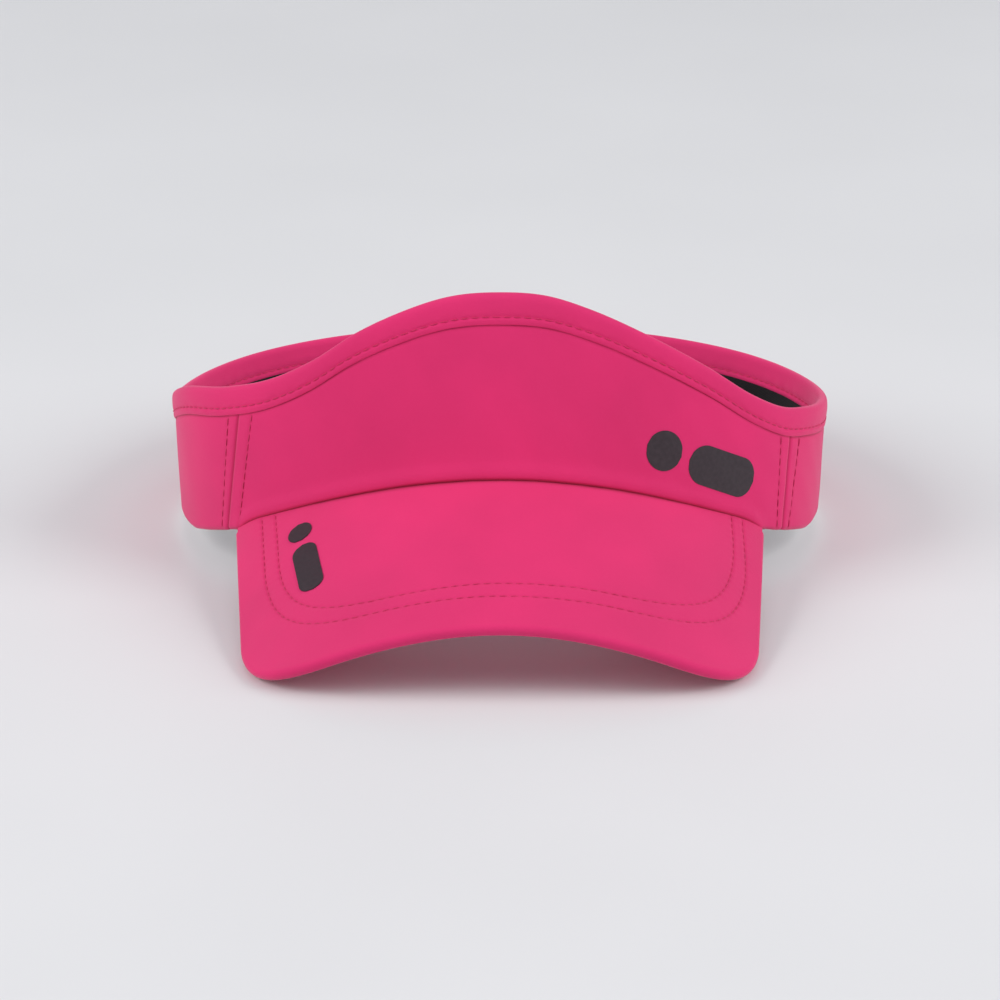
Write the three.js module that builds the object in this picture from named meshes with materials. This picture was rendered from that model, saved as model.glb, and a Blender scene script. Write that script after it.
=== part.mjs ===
// Sports sun visor: an open head band with a stiff curved brim and a hook-and-loop strap at the back.
// Millimetres, +Z up, the brim points along -Y and +X is the wearer's left. The visor stands on the two
// front corners of its brim and on the lower back edge of its band.
import * as THREE from 'three';
import { mergeVertices } from 'three/addons/utils/BufferGeometryUtils.js';

// Driving dimensions. An angle round the head is in degrees from the front centre, positive towards +X.
// An offset is counted outwards from the outer face of the band's cloth.
const HEAD = { halfWidth: 99.3, halfLength: 84 };
const SLANT = { front: -12, side: 2.4, rear: 3 };
const GAP = 0.3;
const LAYER_GAP = 0.5;
const STEP = 4;
const ROWS = 2;

const CLOTH = 0.8;
const INTERLINING = 1.2;
const LINING = 0.6;
const SWEATBAND_FOAM = 1.4;
const SWEATBAND_CLOTH = 0.7;
const WEBBING = { thickness: 1.4, width: 20, middle: 22 };

// Height of the band's top edge at a few places round the head, on the +X side and on the -X side.
const TOP_LEFT = [[0, 93.8], [10, 92.6], [19, 88.2], [29.5, 80.5], [41, 70], [52, 58.4], [60.5, 52],
  [70, 48.4], [97, 42.9], [130, 41.4], [180, 41.2]];
const TOP_RIGHT = [[0, 93.8], [11, 92.3], [20, 87.8], [29.5, 80.5], [37, 72.4], [46, 65], [57, 59.5],
  [70, 55], [97, 42.5], [130, 41.3], [180, 41.2]];
const SEAM_ALLOWANCE = 4.5;
const SIDE_FOOT = [[58, 14.9], [66, 11.6], [74, 9.2], [180, 9.2]];
const LEFT_SEAM = { foot: 59.9, head: 62.7 };
const RIGHT_SEAM = { foot: -56.4, head: -53.5 };
const PANEL_END = 152;
const HEM = 8;
const SWEATBAND_HEIGHT = 36;

const BRIM = { crest: 40.85, drop: 20, radius: 120, end: 53, board: 1.6, cover: 0.8 };
const BRIM_FRONT = { middle: 65.8, leave: 20, reach: 30 };
const BRIM_CORNER = {
  start: [50, 67.2], pull: [68, 67.2], push: [78.5, 60.5], end: [81.3, 46], heel: [87.6, -14],
};

const RING = { bar: 3, spacing: 11.3, clearance: 0.45, start: 161, side: 2.4, bevel: 0.8 };
const LOOP_TAPE = { thickness: 1, width: 18, from: 173, to: 205.5 };
const HOOK_TAPE = { thickness: 0.8, width: 18, from: 176, to: 197 };
const FLAP_END = 200;
const PULL_TAB = { thickness: 1.6, width: 17, to: 205.5 };
const ANCHOR = 145.5;

// Each mark is a plain bar and a dot, as lengths along and across its own line.
const MARK_FILM = 0.3;
const FRONT_MARK = { angle: 39.4, height: 41.3, turn: -24, bar: 26, dot: 12, width: 12, gap: 3 };
const BRIM_MARK = { across: -59, along: 17.5, turn: 79, bar: 23, dot: 8, width: 8, gap: 2.6 };

const COLOURS = {
  shell: 0xd83070, lining: 0xc82c62, padding: 0xd9d4cf, sweatband: 0x0d0b0d, board: 0xe8e6e2,
  webbing: 0xc92a64, tape: 0x1a181a, ring: 0x1c1b1d, rubber: 0x2a282b, thread: 0xbe1e50, film: 0x4b4148,
  label: 0xf1efec,
};

const radians = THREE.MathUtils.degToRad;
const lerp = THREE.MathUtils.lerp;

// A smooth rising or falling curve through the stations, level at both ends.
function smooth(stations, at) {
  const last = stations.length - 1;
  let k = 0;
  while (k < last - 1 && stations[k + 1][0] < at) k += 1;
  const width = (i) => stations[i + 1][0] - stations[i][0];
  const slope = (i) => (stations[i + 1][1] - stations[i][1]) / width(i);
  const tangent = (i) => {
    if (i === 0 || i === last || slope(i - 1) * slope(i) <= 0) return 0;
    const mean = (slope(i - 1) * width(i) + slope(i) * width(i - 1)) / (width(i - 1) + width(i));
    const steepest = 3 * Math.min(Math.abs(slope(i - 1)), Math.abs(slope(i)));
    return Math.sign(mean) * Math.min(Math.abs(mean), steepest);
  };
  const span = width(k);
  const u = (at - stations[k][0]) / span;
  const rise = stations[k + 1][1] - stations[k][1];
  const curve = rise * u * u * (3 - 2 * u);
  return stations[k][1] + curve + span * u * (1 - u) * (tangent(k) * (1 - u) - tangent(k + 1) * u);
}

// A point of the band: the angle round the head, the height, and how far outside the cloth's outer face.
function bandPoint(angle, height, offset) {
  const ahead = Math.cos(radians(angle));
  const aside = Math.sin(radians(angle));
  const outward = new THREE.Vector3(aside / HEAD.halfWidth, -ahead / HEAD.halfLength, 0).normalize();
  const end = Math.tan(radians(ahead > 0 ? SLANT.front : SLANT.rear));
  const slope = end * ahead * ahead + Math.tan(radians(SLANT.side)) * aside * aside;
  const foot = new THREE.Vector3(HEAD.halfWidth * aside, -HEAD.halfLength * ahead, height);
  return foot.addScaledVector(outward, slope * height + offset);
}

// Millimetres round the head for one degree of angle.
function perDegree(angle) {
  const across = HEAD.halfWidth * Math.cos(radians(angle));
  const along = HEAD.halfLength * Math.sin(radians(angle));
  return radians(Math.hypot(across, along));
}

// The brim is a piece of a cylinder that leans down to the front.
const forward = new THREE.Vector3(0, -Math.cos(radians(BRIM.drop)), -Math.sin(radians(BRIM.drop)));
const above = new THREE.Vector3(0, -Math.sin(radians(BRIM.drop)), Math.cos(radians(BRIM.drop)));
const crest = bandPoint(0, BRIM.crest, 0);

function brimPoint(across, along, lift) {
  const turn = across / BRIM.radius;
  const point = crest.clone().addScaledVector(forward, along);
  point.x += (BRIM.radius + lift) * Math.sin(turn);
  return point.addScaledVector(above, (BRIM.radius + lift) * Math.cos(turn) - BRIM.radius);
}

function brimPlace(point) {
  const arm = point.clone().sub(crest);
  const up = arm.dot(above) + BRIM.radius;
  return {
    across: BRIM.radius * Math.atan2(point.x, up),
    along: arm.dot(forward),
    lift: Math.hypot(point.x, up) - BRIM.radius,
  };
}

// The height at which the band meets the face of the brim that lies at a given lift.
function seamHeight(angle, offset, lift) {
  let low = -30;
  let high = 80;
  for (let turn = 0; turn < 40; turn += 1) {
    const middle = (low + high) / 2;
    if (brimPlace(bandPoint(angle, middle, offset)).lift < lift) low = middle;
    else high = middle;
  }
  return low;
}

function topEdge(angle) {
  return smooth(angle > 0 ? TOP_LEFT : TOP_RIGHT, Math.abs(angle));
}

// The lower edge of the cloth: behind the brim it runs on as the seam allowance.
function footEdge(angle) {
  const turn = Math.abs(angle);
  const heel = [BRIM.end, seamHeight(BRIM.end, 0, 0)];
  if (turn >= BRIM.end) return smooth([heel, ...SIDE_FOOT], turn);
  const hidden = Math.min(1, (BRIM.end - turn) / 10);
  return seamHeight(turn, 0, 0) - SEAM_ALLOWANCE * hidden;
}

const hemFoot = (angle) => topEdge(angle) - HEM;
const paddingTop = (angle) => hemFoot(angle) - 2 * GAP;
const sweatbandTop = (angle) => Math.min(paddingTop(angle), footEdge(angle) + SWEATBAND_HEIGHT);

// A closed solid from its points and triangles, with its faces turned outwards.
function solid(points, triangles) {
  const loose = new THREE.BufferGeometry().setFromPoints(points);
  loose.setIndex(triangles);
  const merged = mergeVertices(loose, 1e-4);
  const place = merged.getAttribute('position');
  const corner = (i) => new THREE.Vector3().fromBufferAttribute(place, i);
  const index = merged.getIndex().array;
  const kept = [];
  let volume = 0;
  for (let i = 0; i < index.length; i += 3) {
    const [a, b, c] = index.slice(i, i + 3);
    if (a === b || b === c || c === a) continue;
    kept.push([a, b, c]);
    volume += corner(a).dot(corner(b).cross(corner(c)));
  }
  merged.setIndex(kept.flatMap(([a, b, c]) => (volume > 0 ? [a, b, c] : [a, c, b])));
  merged.computeVertexNormals();
  return merged;
}

// A shell between two matching grids of points, closed along its four rims.
function shell(outer, inner) {
  const columns = outer.length;
  const rows = outer[0].length;
  const out = (i, j) => i * rows + j;
  const back = (i, j) => (columns + i) * rows + j;
  const triangles = [];
  const quad = (a, b, c, d) => triangles.push(a, b, c, a, c, d);
  for (let i = 0; i < columns - 1; i += 1) {
    for (let j = 0; j < rows - 1; j += 1) {
      quad(out(i, j), out(i + 1, j), out(i + 1, j + 1), out(i, j + 1));
      quad(back(i, j), back(i, j + 1), back(i + 1, j + 1), back(i + 1, j));
    }
    quad(out(i, 0), back(i, 0), back(i + 1, 0), out(i + 1, 0));
    quad(out(i, rows - 1), out(i + 1, rows - 1), back(i + 1, rows - 1), back(i, rows - 1));
  }
  for (let j = 0; j < rows - 1; j += 1) {
    quad(out(0, j), out(0, j + 1), back(0, j + 1), back(0, j));
    quad(out(columns - 1, j), back(columns - 1, j), back(columns - 1, j + 1), out(columns - 1, j + 1));
  }
  return solid([...outer.flat(), ...inner.flat()], triangles);
}

// The whole steps round the head between two angles, which every layer shares, with the two ends.
function columnsBetween(from, to) {
  const [low, high] = [Math.min(from, to), Math.max(from, to)];
  const angles = [low];
  for (let k = Math.ceil(low / STEP + 0.4); k * STEP < high - 0.4 * STEP; k += 1) angles.push(k * STEP);
  angles.push(high);
  return from < to ? angles : angles.reverse();
}

const upright = (angle) => ({ foot: angle, head: angle });

// A layer of the band, between two ends that may lean, from one height to another.
function layer(from, to, low, high, outside, thickness) {
  const [first, last] = from.foot < to.foot ? [from, to] : [to, from];
  const steps = columnsBetween(Math.max(first.foot, first.head), Math.min(last.foot, last.head));
  const lines = [first, ...steps.slice(1, -1).map(upright), last];
  const face = (offset) => lines.map(({ foot, head }) => {
    const start = low(foot);
    const end = high(head);
    return Array.from({ length: ROWS + 1 }, (_, row) => {
      const share = row / ROWS;
      return bandPoint(lerp(foot, head, share), lerp(start, end, share), offset);
    });
  });
  return shell(face(outside), face(outside - thickness));
}

const shifted = (seam, by) => ({ foot: seam.foot + by, head: seam.head + by });
const SEAM_GAP = 0.2;

function frontPanel() {
  return layer(RIGHT_SEAM, LEFT_SEAM, footEdge, topEdge, 0, CLOTH);
}

function sidePanel(seam, side) {
  return layer(shifted(seam, side * SEAM_GAP), upright(side * PANEL_END), footEdge, topEdge, 0, CLOTH);
}

const PADDING_OFFSET = -CLOTH - LAYER_GAP;
const TAPE_HALF = 2.2;

function frontInterlining() {
  const from = shifted(RIGHT_SEAM, TAPE_HALF + SEAM_GAP);
  const to = shifted(LEFT_SEAM, -TAPE_HALF - SEAM_GAP);
  return layer(from, to, footEdge, paddingTop, PADDING_OFFSET, INTERLINING);
}

function sideInterlining(seam, side) {
  const from = shifted(seam, side * (TAPE_HALF + SEAM_GAP));
  return layer(from, upright(side * (ANCHOR - 2)), footEdge, paddingTop, PADDING_OFFSET, INTERLINING);
}

function seamTape(seam) {
  const from = shifted(seam, -TAPE_HALF);
  const to = shifted(seam, TAPE_HALF);
  return layer(from, to, footEdge, paddingTop, PADDING_OFFSET, LINING);
}

const LINING_OFFSET = PADDING_OFFSET - INTERLINING - LAYER_GAP;

// The lining shows only where the front rises above the sweatband.
function frontLining() {
  const half = 40;
  const low = (angle) => sweatbandTop(angle) + GAP;
  return layer(upright(-half), upright(half), low, paddingTop, LINING_OFFSET, LINING);
}

function sweatbandFoam() {
  const low = (angle) => footEdge(angle) + 2;
  const high = (angle) => sweatbandTop(angle) - 2;
  return layer(upright(2 - ANCHOR), upright(ANCHOR - 2), low, high, LINING_OFFSET, SWEATBAND_FOAM);
}

const SWEATBAND_OFFSET = LINING_OFFSET - SWEATBAND_FOAM - LAYER_GAP;

function sweatband() {
  const low = (angle) => footEdge(angle) + 0.5;
  const end = PANEL_END - 1;
  return layer(upright(-end), upright(end), low, sweatbandTop, SWEATBAND_OFFSET, SWEATBAND_CLOTH);
}

function careLabel() {
  const low = (angle) => footEdge(angle) + 2;
  const high = (angle) => footEdge(angle) + 18;
  const offset = SWEATBAND_OFFSET - SWEATBAND_CLOTH - GAP;
  return layer(upright(118), upright(134), low, high, offset, 0.4);
}

// The hem tape is folded over the whole top edge, outside and inside.
function topBinding() {
  const cloth = 0.7;
  const room = 0.6;
  const column = (angle, skin) => {
    const top = topEdge(angle);
    const outside = room + skin;
    const inside = -CLOTH - room - skin;
    const middle = (outside + inside) / 2;
    return [
      bandPoint(angle, hemFoot(angle), outside),
      bandPoint(angle, top, outside),
      bandPoint(angle, top + outside, middle),
      bandPoint(angle, top, inside),
      bandPoint(angle, hemFoot(angle), inside),
    ];
  };
  const angles = columnsBetween(-PANEL_END, PANEL_END);
  return shell(angles.map((angle) => column(angle, cloth)), angles.map((angle) => column(angle, 0)));
}

// The free edge of the brim laid flat, from one heel round the front to the other.
function freeEdge(count) {
  const { start, pull, push, end, heel } = BRIM_CORNER;
  const { middle, leave, reach } = BRIM_FRONT;
  const path = new THREE.Path();
  path.moveTo(-heel[0], heel[1]);
  path.lineTo(-end[0], end[1]);
  path.bezierCurveTo(-push[0], push[1], -pull[0], pull[1], -start[0], start[1]);
  path.bezierCurveTo(-reach, start[1], -leave, middle, 0, middle);
  path.bezierCurveTo(leave, middle, reach, start[1], start[0], start[1]);
  path.bezierCurveTo(pull[0], pull[1], push[0], push[1], end[0], end[1]);
  path.lineTo(heel[0], heel[1]);
  return path.getSpacedPoints(count);
}

const BRIM_COLUMNS = 40;
const BRIM_ROWS = 3;
const EDGE = freeEdge(BRIM_COLUMNS);
const HEEL_SLOPE = 0.65;

// The direction that leads out of the flat brim at a point of its free edge.
function edgeOutward(i) {
  const before = EDGE[Math.max(0, i - 1)];
  const after = EDGE[Math.min(BRIM_COLUMNS, i + 1)];
  const way = after.clone().sub(before).normalize();
  return new THREE.Vector2(-way.y, way.x);
}

// One face of the brim at a given lift. Its curl is a list of steps past the free edge: [out, lift].
// The lower a face lies, the sooner it ends at the heels, so that they stand upright.
function brimFace(lift, inset, curl) {
  const end = BRIM.end + HEEL_SLOPE * lift;
  return EDGE.map((edge, i) => {
    const angle = lerp(-end, end, i / BRIM_COLUMNS);
    const seam = brimPlace(bandPoint(angle, seamHeight(angle, GAP, lift), GAP));
    const outward = edgeOutward(i);
    const rim = edge.clone().addScaledVector(outward, -inset);
    const column = [];
    for (let row = 0; row <= BRIM_ROWS; row += 1) {
      const share = row / BRIM_ROWS;
      column.push(brimPoint(lerp(seam.across, rim.x, share), lerp(seam.along, rim.y, share), lift));
    }
    for (const [out, height] of curl) {
      const place = edge.clone().addScaledVector(outward, out);
      column.push(brimPoint(place.x, place.y, height));
    }
    return column;
  });
}

const BRIM_STACK = 2 * BRIM.cover + 2 * GAP + BRIM.board;
const EDGE_INSET = 1.4;

// Each cover folds round the board's edge and meets the other cover half way down it.
function brimTopCover() {
  const half = -BRIM_STACK / 2 + GAP / 2;
  const outer = brimFace(0, EDGE_INSET, [[-0.4, -0.5], [0, half]]);
  const inner = brimFace(-BRIM.cover, EDGE_INSET, [[-1, -1], [-0.8, half]]);
  return shell(outer, inner);
}

function brimBoard() {
  const top = -BRIM.cover - GAP;
  return shell(brimFace(top, EDGE_INSET + 0.4, []), brimFace(top - BRIM.board, EDGE_INSET + 0.4, []));
}

function brimBottomCover() {
  const half = -BRIM_STACK / 2 - GAP / 2;
  const outer = brimFace(-BRIM_STACK, EDGE_INSET, [[-0.4, 0.5 - BRIM_STACK], [0, half]]);
  const inner = brimFace(BRIM.cover - BRIM_STACK, EDGE_INSET, [[-1, 1 - BRIM_STACK], [-0.8, half]]);
  return shell(outer, inner);
}

const WEB_LOW = WEBBING.middle - WEBBING.width / 2;
const WEB_HIGH = WEBBING.middle + WEBBING.width / 2;
const STRAP_OFFSET = -CLOTH - LAYER_GAP - WEBBING.thickness / 2;
const FOLD_RADIUS = RING.bar / 2 + RING.clearance + WEBBING.thickness / 2;
const BAR_OFFSET = STRAP_OFFSET + FOLD_RADIUS;
const FOLD_TOP = BAR_OFFSET + FOLD_RADIUS;
const FAR_BAR = RING.start + RING.spacing / perDegree(RING.start);

// A band of even thickness whose middle line is a list of [angle, offset] places.
function strip(route, thickness, width) {
  const low = WEBBING.middle - width / 2;
  const high = WEBBING.middle + width / 2;
  const side = (half) => route.map(([angle, offset], i) => {
    const before = bandPoint(...asPlace(route[Math.max(0, i - 1)]));
    const after = bandPoint(...asPlace(route[Math.min(route.length - 1, i + 1)]));
    const way = after.sub(before);
    const normal = new THREE.Vector3(way.y, -way.x, 0).normalize().multiplyScalar(half);
    return [bandPoint(angle, low, offset).add(normal), bandPoint(angle, high, offset).add(normal)];
  });
  return shell(side(thickness / 2), side(-thickness / 2));
}

const asPlace = ([angle, offset]) => [angle, WEBBING.middle, offset];

// A half turn round a bar of the ring, towards the front (way 1) or towards the back (way -1).
function turnRound(bar, way) {
  const places = [];
  for (let turn = -90; turn <= 90; turn += 22.5) {
    const along = way * FOLD_RADIUS * Math.cos(radians(turn));
    places.push([bar + along / perDegree(bar), BAR_OFFSET + FOLD_RADIUS * Math.sin(radians(turn))]);
  }
  return places;
}

const level = (from, to, offset) => columnsBetween(from, to).map((angle) => [angle, offset]);

// The webbing loop that holds the ring: one leg under the left panel's end and one on top of it.
function ringTab() {
  const onTop = GAP + WEBBING.thickness / 2;
  const route = [
    ...level(ANCHOR, RING.start - 2, STRAP_OFFSET),
    ...turnRound(RING.start, 1),
    [RING.start - 3.5, (FOLD_TOP + onTop) / 2 + 0.5],
    [PANEL_END + 0.5, onTop + 0.1],
    [ANCHOR + 1, onTop],
  ];
  return strip(route, WEBBING.thickness, WEBBING.width);
}

const STRAP_END = FAR_BAR + 3.4;

function strap() {
  return strip(level(STRAP_END, 360 - ANCHOR, STRAP_OFFSET), WEBBING.thickness, WEBBING.width);
}

// The stretch of the strap that goes through the ring and back over its far bar.
function strapFold() {
  const route = [
    [STRAP_END - 0.5, STRAP_OFFSET],
    ...turnRound(FAR_BAR, -1),
    [FAR_BAR + 0.6, FOLD_TOP],
  ];
  return strip(route, WEBBING.thickness, WEBBING.width);
}

const LOOP_OFFSET = STRAP_OFFSET + WEBBING.thickness / 2 + GAP + LOOP_TAPE.thickness / 2;
const HOOK_OFFSET = LOOP_OFFSET + LOOP_TAPE.thickness / 2 + GAP + HOOK_TAPE.thickness / 2;
const FLAP_OFFSET = HOOK_OFFSET + HOOK_TAPE.thickness / 2 + GAP + WEBBING.thickness / 2;

function strapFlap() {
  const route = [
    [FAR_BAR + 0.9, FOLD_TOP],
    [FAR_BAR + 3, (FOLD_TOP + FLAP_OFFSET) / 2],
    ...level(FAR_BAR + 5.5, FLAP_END, FLAP_OFFSET),
  ];
  return strip(route, WEBBING.thickness, WEBBING.width);
}

function loopTape() {
  return strip(level(LOOP_TAPE.from, LOOP_TAPE.to, LOOP_OFFSET), LOOP_TAPE.thickness, LOOP_TAPE.width);
}

function hookTape() {
  return strip(level(HOOK_TAPE.from, HOOK_TAPE.to, HOOK_OFFSET), HOOK_TAPE.thickness, HOOK_TAPE.width);
}

function pullTab() {
  const route = [[FLAP_END + 0.3, FLAP_OFFSET], [FLAP_END + 3, FLAP_OFFSET + 0.3],
    [PULL_TAB.to, FLAP_OFFSET + 1.2]];
  return strip(route, PULL_TAB.thickness, PULL_TAB.width);
}

// The thread bar that holds the webbing at each end of the band.
function bartack(angle, offset) {
  const low = () => WEB_LOW + 1;
  const high = () => WEB_HIGH - 1;
  return layer(upright(angle), upright(angle + 1), low, high, offset, 0.5);
}

// The rectangular ring, flat in its own frame: X along the band, Y along the bars, Z outwards.
function ring() {
  const halfLength = RING.spacing / 2 + RING.bar / 2 - RING.bevel;
  const halfHeight = WEBBING.width / 2 + 2 * GAP + RING.side - RING.bevel;
  const holeLength = RING.spacing / 2 - RING.bar / 2 + RING.bevel;
  const holeHeight = WEBBING.width / 2 + 2 * GAP + RING.bevel;
  const outline = roundedBox(new THREE.Shape(), halfLength, halfHeight, 1.6);
  outline.holes.push(roundedBox(new THREE.Path(), holeLength, holeHeight, 0.9));
  const geometry = new THREE.ExtrudeGeometry(outline, {
    depth: RING.bar - 2 * RING.bevel,
    bevelThickness: RING.bevel,
    bevelSize: RING.bevel,
    bevelSegments: 1,
    curveSegments: 3,
  });
  return geometry.translate(0, 0, RING.bevel - RING.bar / 2);
}

function roundedBox(path, halfX, halfY, radius) {
  path.moveTo(halfX, halfY - radius);
  path.absarc(halfX - radius, halfY - radius, radius, 0, Math.PI / 2);
  path.absarc(radius - halfX, halfY - radius, radius, Math.PI / 2, Math.PI);
  path.absarc(radius - halfX, radius - halfY, radius, Math.PI, 1.5 * Math.PI);
  path.absarc(halfX - radius, radius - halfY, radius, 1.5 * Math.PI, 2 * Math.PI);
  return path;
}

// Stands the flat ring upright between its two bars, along the slant of the band.
function placeRing(mesh) {
  const middle = (RING.start + FAR_BAR) / 2;
  const near = bandPoint(RING.start, WEBBING.middle, BAR_OFFSET);
  const far = bandPoint(FAR_BAR, WEBBING.middle, BAR_OFFSET);
  const along = far.clone().sub(near).normalize();
  const up = bandPoint(middle, WEB_HIGH, 0).sub(bandPoint(middle, WEB_LOW, 0)).normalize();
  const outward = along.clone().cross(up).normalize();
  mesh.matrix.makeBasis(along, outward.clone().cross(along), outward);
  mesh.matrix.setPosition(near.add(far).multiplyScalar(0.5));
  mesh.matrix.decompose(mesh.position, mesh.quaternion, mesh.scale);
}

// A flat piece with round ends, laid on a surface by place(along, across, lift).
function stadium(middle, length, width, place) {
  const radius = width / 2;
  const straight = length - width;
  const quarter = [0, 22.5, 45, 67.5, 90].map(radians);
  const start = quarter.map((turn) => [-straight / 2 - radius * Math.cos(turn), radius * Math.sin(turn)]);
  const steps = Math.round(straight / STEP);
  const body = Array.from({ length: steps }, (_, i) => [lerp(-0.5, 0.5, (i + 1) / steps) * straight, radius]);
  const finish = start.slice(0, -1).reverse().map(([along, half]) => [-along, half]);
  const face = (lift) => [...start, ...body, ...finish].map(([along, half]) => (
    [-1, 0, 1].map((side) => place(middle + along, side * half, lift))
  ));
  return shell(face(GAP + MARK_FILM), face(GAP));
}

function markPieces(mark, place) {
  const total = mark.bar + mark.gap + mark.dot;
  return {
    dot: stadium(-total / 2 + mark.dot / 2, mark.dot, mark.width, place),
    bar: stadium(total / 2 - mark.bar / 2, mark.bar, mark.width, place),
  };
}

function frontMark() {
  const turn = radians(FRONT_MARK.turn);
  return markPieces(FRONT_MARK, (along, across, lift) => {
    const round = along * Math.cos(turn) - across * Math.sin(turn);
    const up = along * Math.sin(turn) + across * Math.cos(turn);
    const angle = FRONT_MARK.angle + round / perDegree(FRONT_MARK.angle);
    return bandPoint(angle, FRONT_MARK.height + up, lift);
  });
}

function brimMark() {
  const turn = radians(BRIM_MARK.turn);
  return markPieces(BRIM_MARK, (along, across, lift) => {
    const x = along * Math.cos(turn) - across * Math.sin(turn);
    const y = along * Math.sin(turn) + across * Math.cos(turn);
    return brimPoint(BRIM_MARK.across + x, BRIM_MARK.along + y, lift);
  });
}

function material(colour, roughness = 0.85, metalness = 0) {
  return new THREE.MeshStandardMaterial({ color: colour, roughness, metalness });
}

const visor = new THREE.Group();

function add(name, geometry, look) {
  const mesh = new THREE.Mesh(geometry, look);
  mesh.name = name;
  visor.add(mesh);
  return mesh;
}

function addBand() {
  add('front_panel', frontPanel(), material(COLOURS.shell));
  add('left_side_panel', sidePanel(LEFT_SEAM, 1), material(COLOURS.shell));
  add('right_side_panel', sidePanel(RIGHT_SEAM, -1), material(COLOURS.shell));
  add('top_binding', topBinding(), material(COLOURS.shell));
  add('front_interlining', frontInterlining(), material(COLOURS.padding));
  add('left_side_interlining', sideInterlining(LEFT_SEAM, 1), material(COLOURS.padding));
  add('right_side_interlining', sideInterlining(RIGHT_SEAM, -1), material(COLOURS.padding));
  add('left_seam_tape', seamTape(LEFT_SEAM), material(COLOURS.lining));
  add('right_seam_tape', seamTape(RIGHT_SEAM), material(COLOURS.lining));
  add('front_lining', frontLining(), material(COLOURS.lining));
  add('sweatband_foam', sweatbandFoam(), material(COLOURS.padding));
  add('sweatband', sweatband(), material(COLOURS.sweatband, 0.95));
  add('care_label', careLabel(), material(COLOURS.label));
}

function addBrim() {
  add('brim_top_cover', brimTopCover(), material(COLOURS.shell));
  add('brim_board', brimBoard(), material(COLOURS.board, 0.6));
  add('brim_bottom_cover', brimBottomCover(), material(COLOURS.lining));
}

function addClosure() {
  add('strap', strap(), material(COLOURS.webbing));
  add('strap_fold', strapFold(), material(COLOURS.webbing));
  add('strap_flap', strapFlap(), material(COLOURS.webbing));
  add('ring_tab', ringTab(), material(COLOURS.webbing));
  add('loop_tape', loopTape(), material(COLOURS.tape, 1));
  add('hook_tape', hookTape(), material(COLOURS.tape, 0.7));
  add('pull_tab', pullTab(), material(COLOURS.rubber, 0.6));
  placeRing(add('ring', ring(), material(COLOURS.ring, 0.4)));
  add('left_bartack', bartack(ANCHOR + 2.5, 2 * GAP + WEBBING.thickness + 0.6), material(COLOURS.thread));
  add('right_bartack', bartack(-ANCHOR - 3.5, GAP + 0.5), material(COLOURS.thread));
}

function addMarks() {
  const front = frontMark();
  const brim = brimMark();
  add('front_mark_dot', front.dot, material(COLOURS.film, 0.5));
  add('front_mark_bar', front.bar, material(COLOURS.film, 0.5));
  add('brim_mark_dot', brim.dot, material(COLOURS.film, 0.5));
  add('brim_mark_bar', brim.bar, material(COLOURS.film, 0.5));
}

// Leans the visor until the lowest brim corner and the back of the band stand on one level surface.
function standUp(root) {
  const heel = bandPoint(PANEL_END, footEdge(PANEL_END), -CLOTH);
  const rim = brimFace(-BRIM_STACK, EDGE_INSET, []).map((column) => column[BRIM_ROWS]);
  visor.rotation.x = -Math.max(...rim.map((p) => Math.atan2(heel.z - p.z, heel.y - p.y)));
  const box = new THREE.Box3().setFromObject(root, true);
  const middle = box.getCenter(new THREE.Vector3());
  visor.position.set(-middle.x, -middle.y, -box.min.z);
}

addBand();
addBrim();
addClosure();
addMarks();
const sunVisor = new THREE.Group().add(visor);
standUp(sunVisor);

export default sunVisor;
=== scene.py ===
"""A sports sun visor: a pink open head band, a stiff curved brim and a hook-and-loop strap at the back.

Sizes are in millimetres and degrees until a point is placed, then in metres. The angle round the head
starts at the front centre and grows towards the wearer's left, which is +X. An offset is counted
outwards from the outer face of the band's cloth, and a lift upwards from the brim's upper face.
"""

import math

import bpy
import numpy as np
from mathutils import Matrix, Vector
from mathutils.kdtree import KDTree


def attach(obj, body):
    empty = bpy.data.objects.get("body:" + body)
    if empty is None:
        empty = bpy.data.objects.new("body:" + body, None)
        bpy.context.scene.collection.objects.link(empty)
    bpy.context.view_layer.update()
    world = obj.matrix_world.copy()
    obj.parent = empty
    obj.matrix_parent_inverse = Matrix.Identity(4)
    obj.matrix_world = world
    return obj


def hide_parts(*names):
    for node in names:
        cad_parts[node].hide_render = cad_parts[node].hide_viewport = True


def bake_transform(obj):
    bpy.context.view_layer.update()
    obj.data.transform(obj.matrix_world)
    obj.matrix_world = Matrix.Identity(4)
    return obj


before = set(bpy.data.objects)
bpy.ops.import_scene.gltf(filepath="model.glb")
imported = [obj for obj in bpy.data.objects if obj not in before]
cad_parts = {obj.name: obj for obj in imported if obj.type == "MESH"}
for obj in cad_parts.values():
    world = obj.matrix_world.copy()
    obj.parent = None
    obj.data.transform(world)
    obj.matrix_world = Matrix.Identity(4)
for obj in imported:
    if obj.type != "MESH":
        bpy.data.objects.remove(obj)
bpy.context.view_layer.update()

MM = 0.001

# The band: an oval loop whose wall leans in at the front and out at the sides and back.
HALF_WIDTH, HALF_LENGTH = 99.3, 84.0
LEAN_FRONT, LEAN_SIDE, LEAN_REAR = -12.0, 2.4, 3.0
TOP_LEFT = [(0, 93.8), (10, 92.6), (19, 88.2), (29.5, 80.5), (41, 70), (52, 58.4), (60.5, 52),
            (70, 48.4), (97, 42.9), (130, 41.4), (180, 41.2)]
TOP_RIGHT = [(0, 93.8), (11, 92.3), (20, 87.8), (29.5, 80.5), (37, 72.4), (46, 65), (57, 59.5),
             (70, 55), (97, 42.5), (130, 41.3), (180, 41.2)]
SIDE_FOOT = [(58, 14.9), (66, 11.6), (74, 9.2), (180, 9.2)]
HEM_HEIGHT = 8.0
HEM_ROW = 2.3
LEFT_SEAM = (59.9, 62.7)
RIGHT_SEAM = (-56.4, -53.5)
LEFT_ROWS = (3.2, 5.1), (3.2, 5.1)
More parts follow.
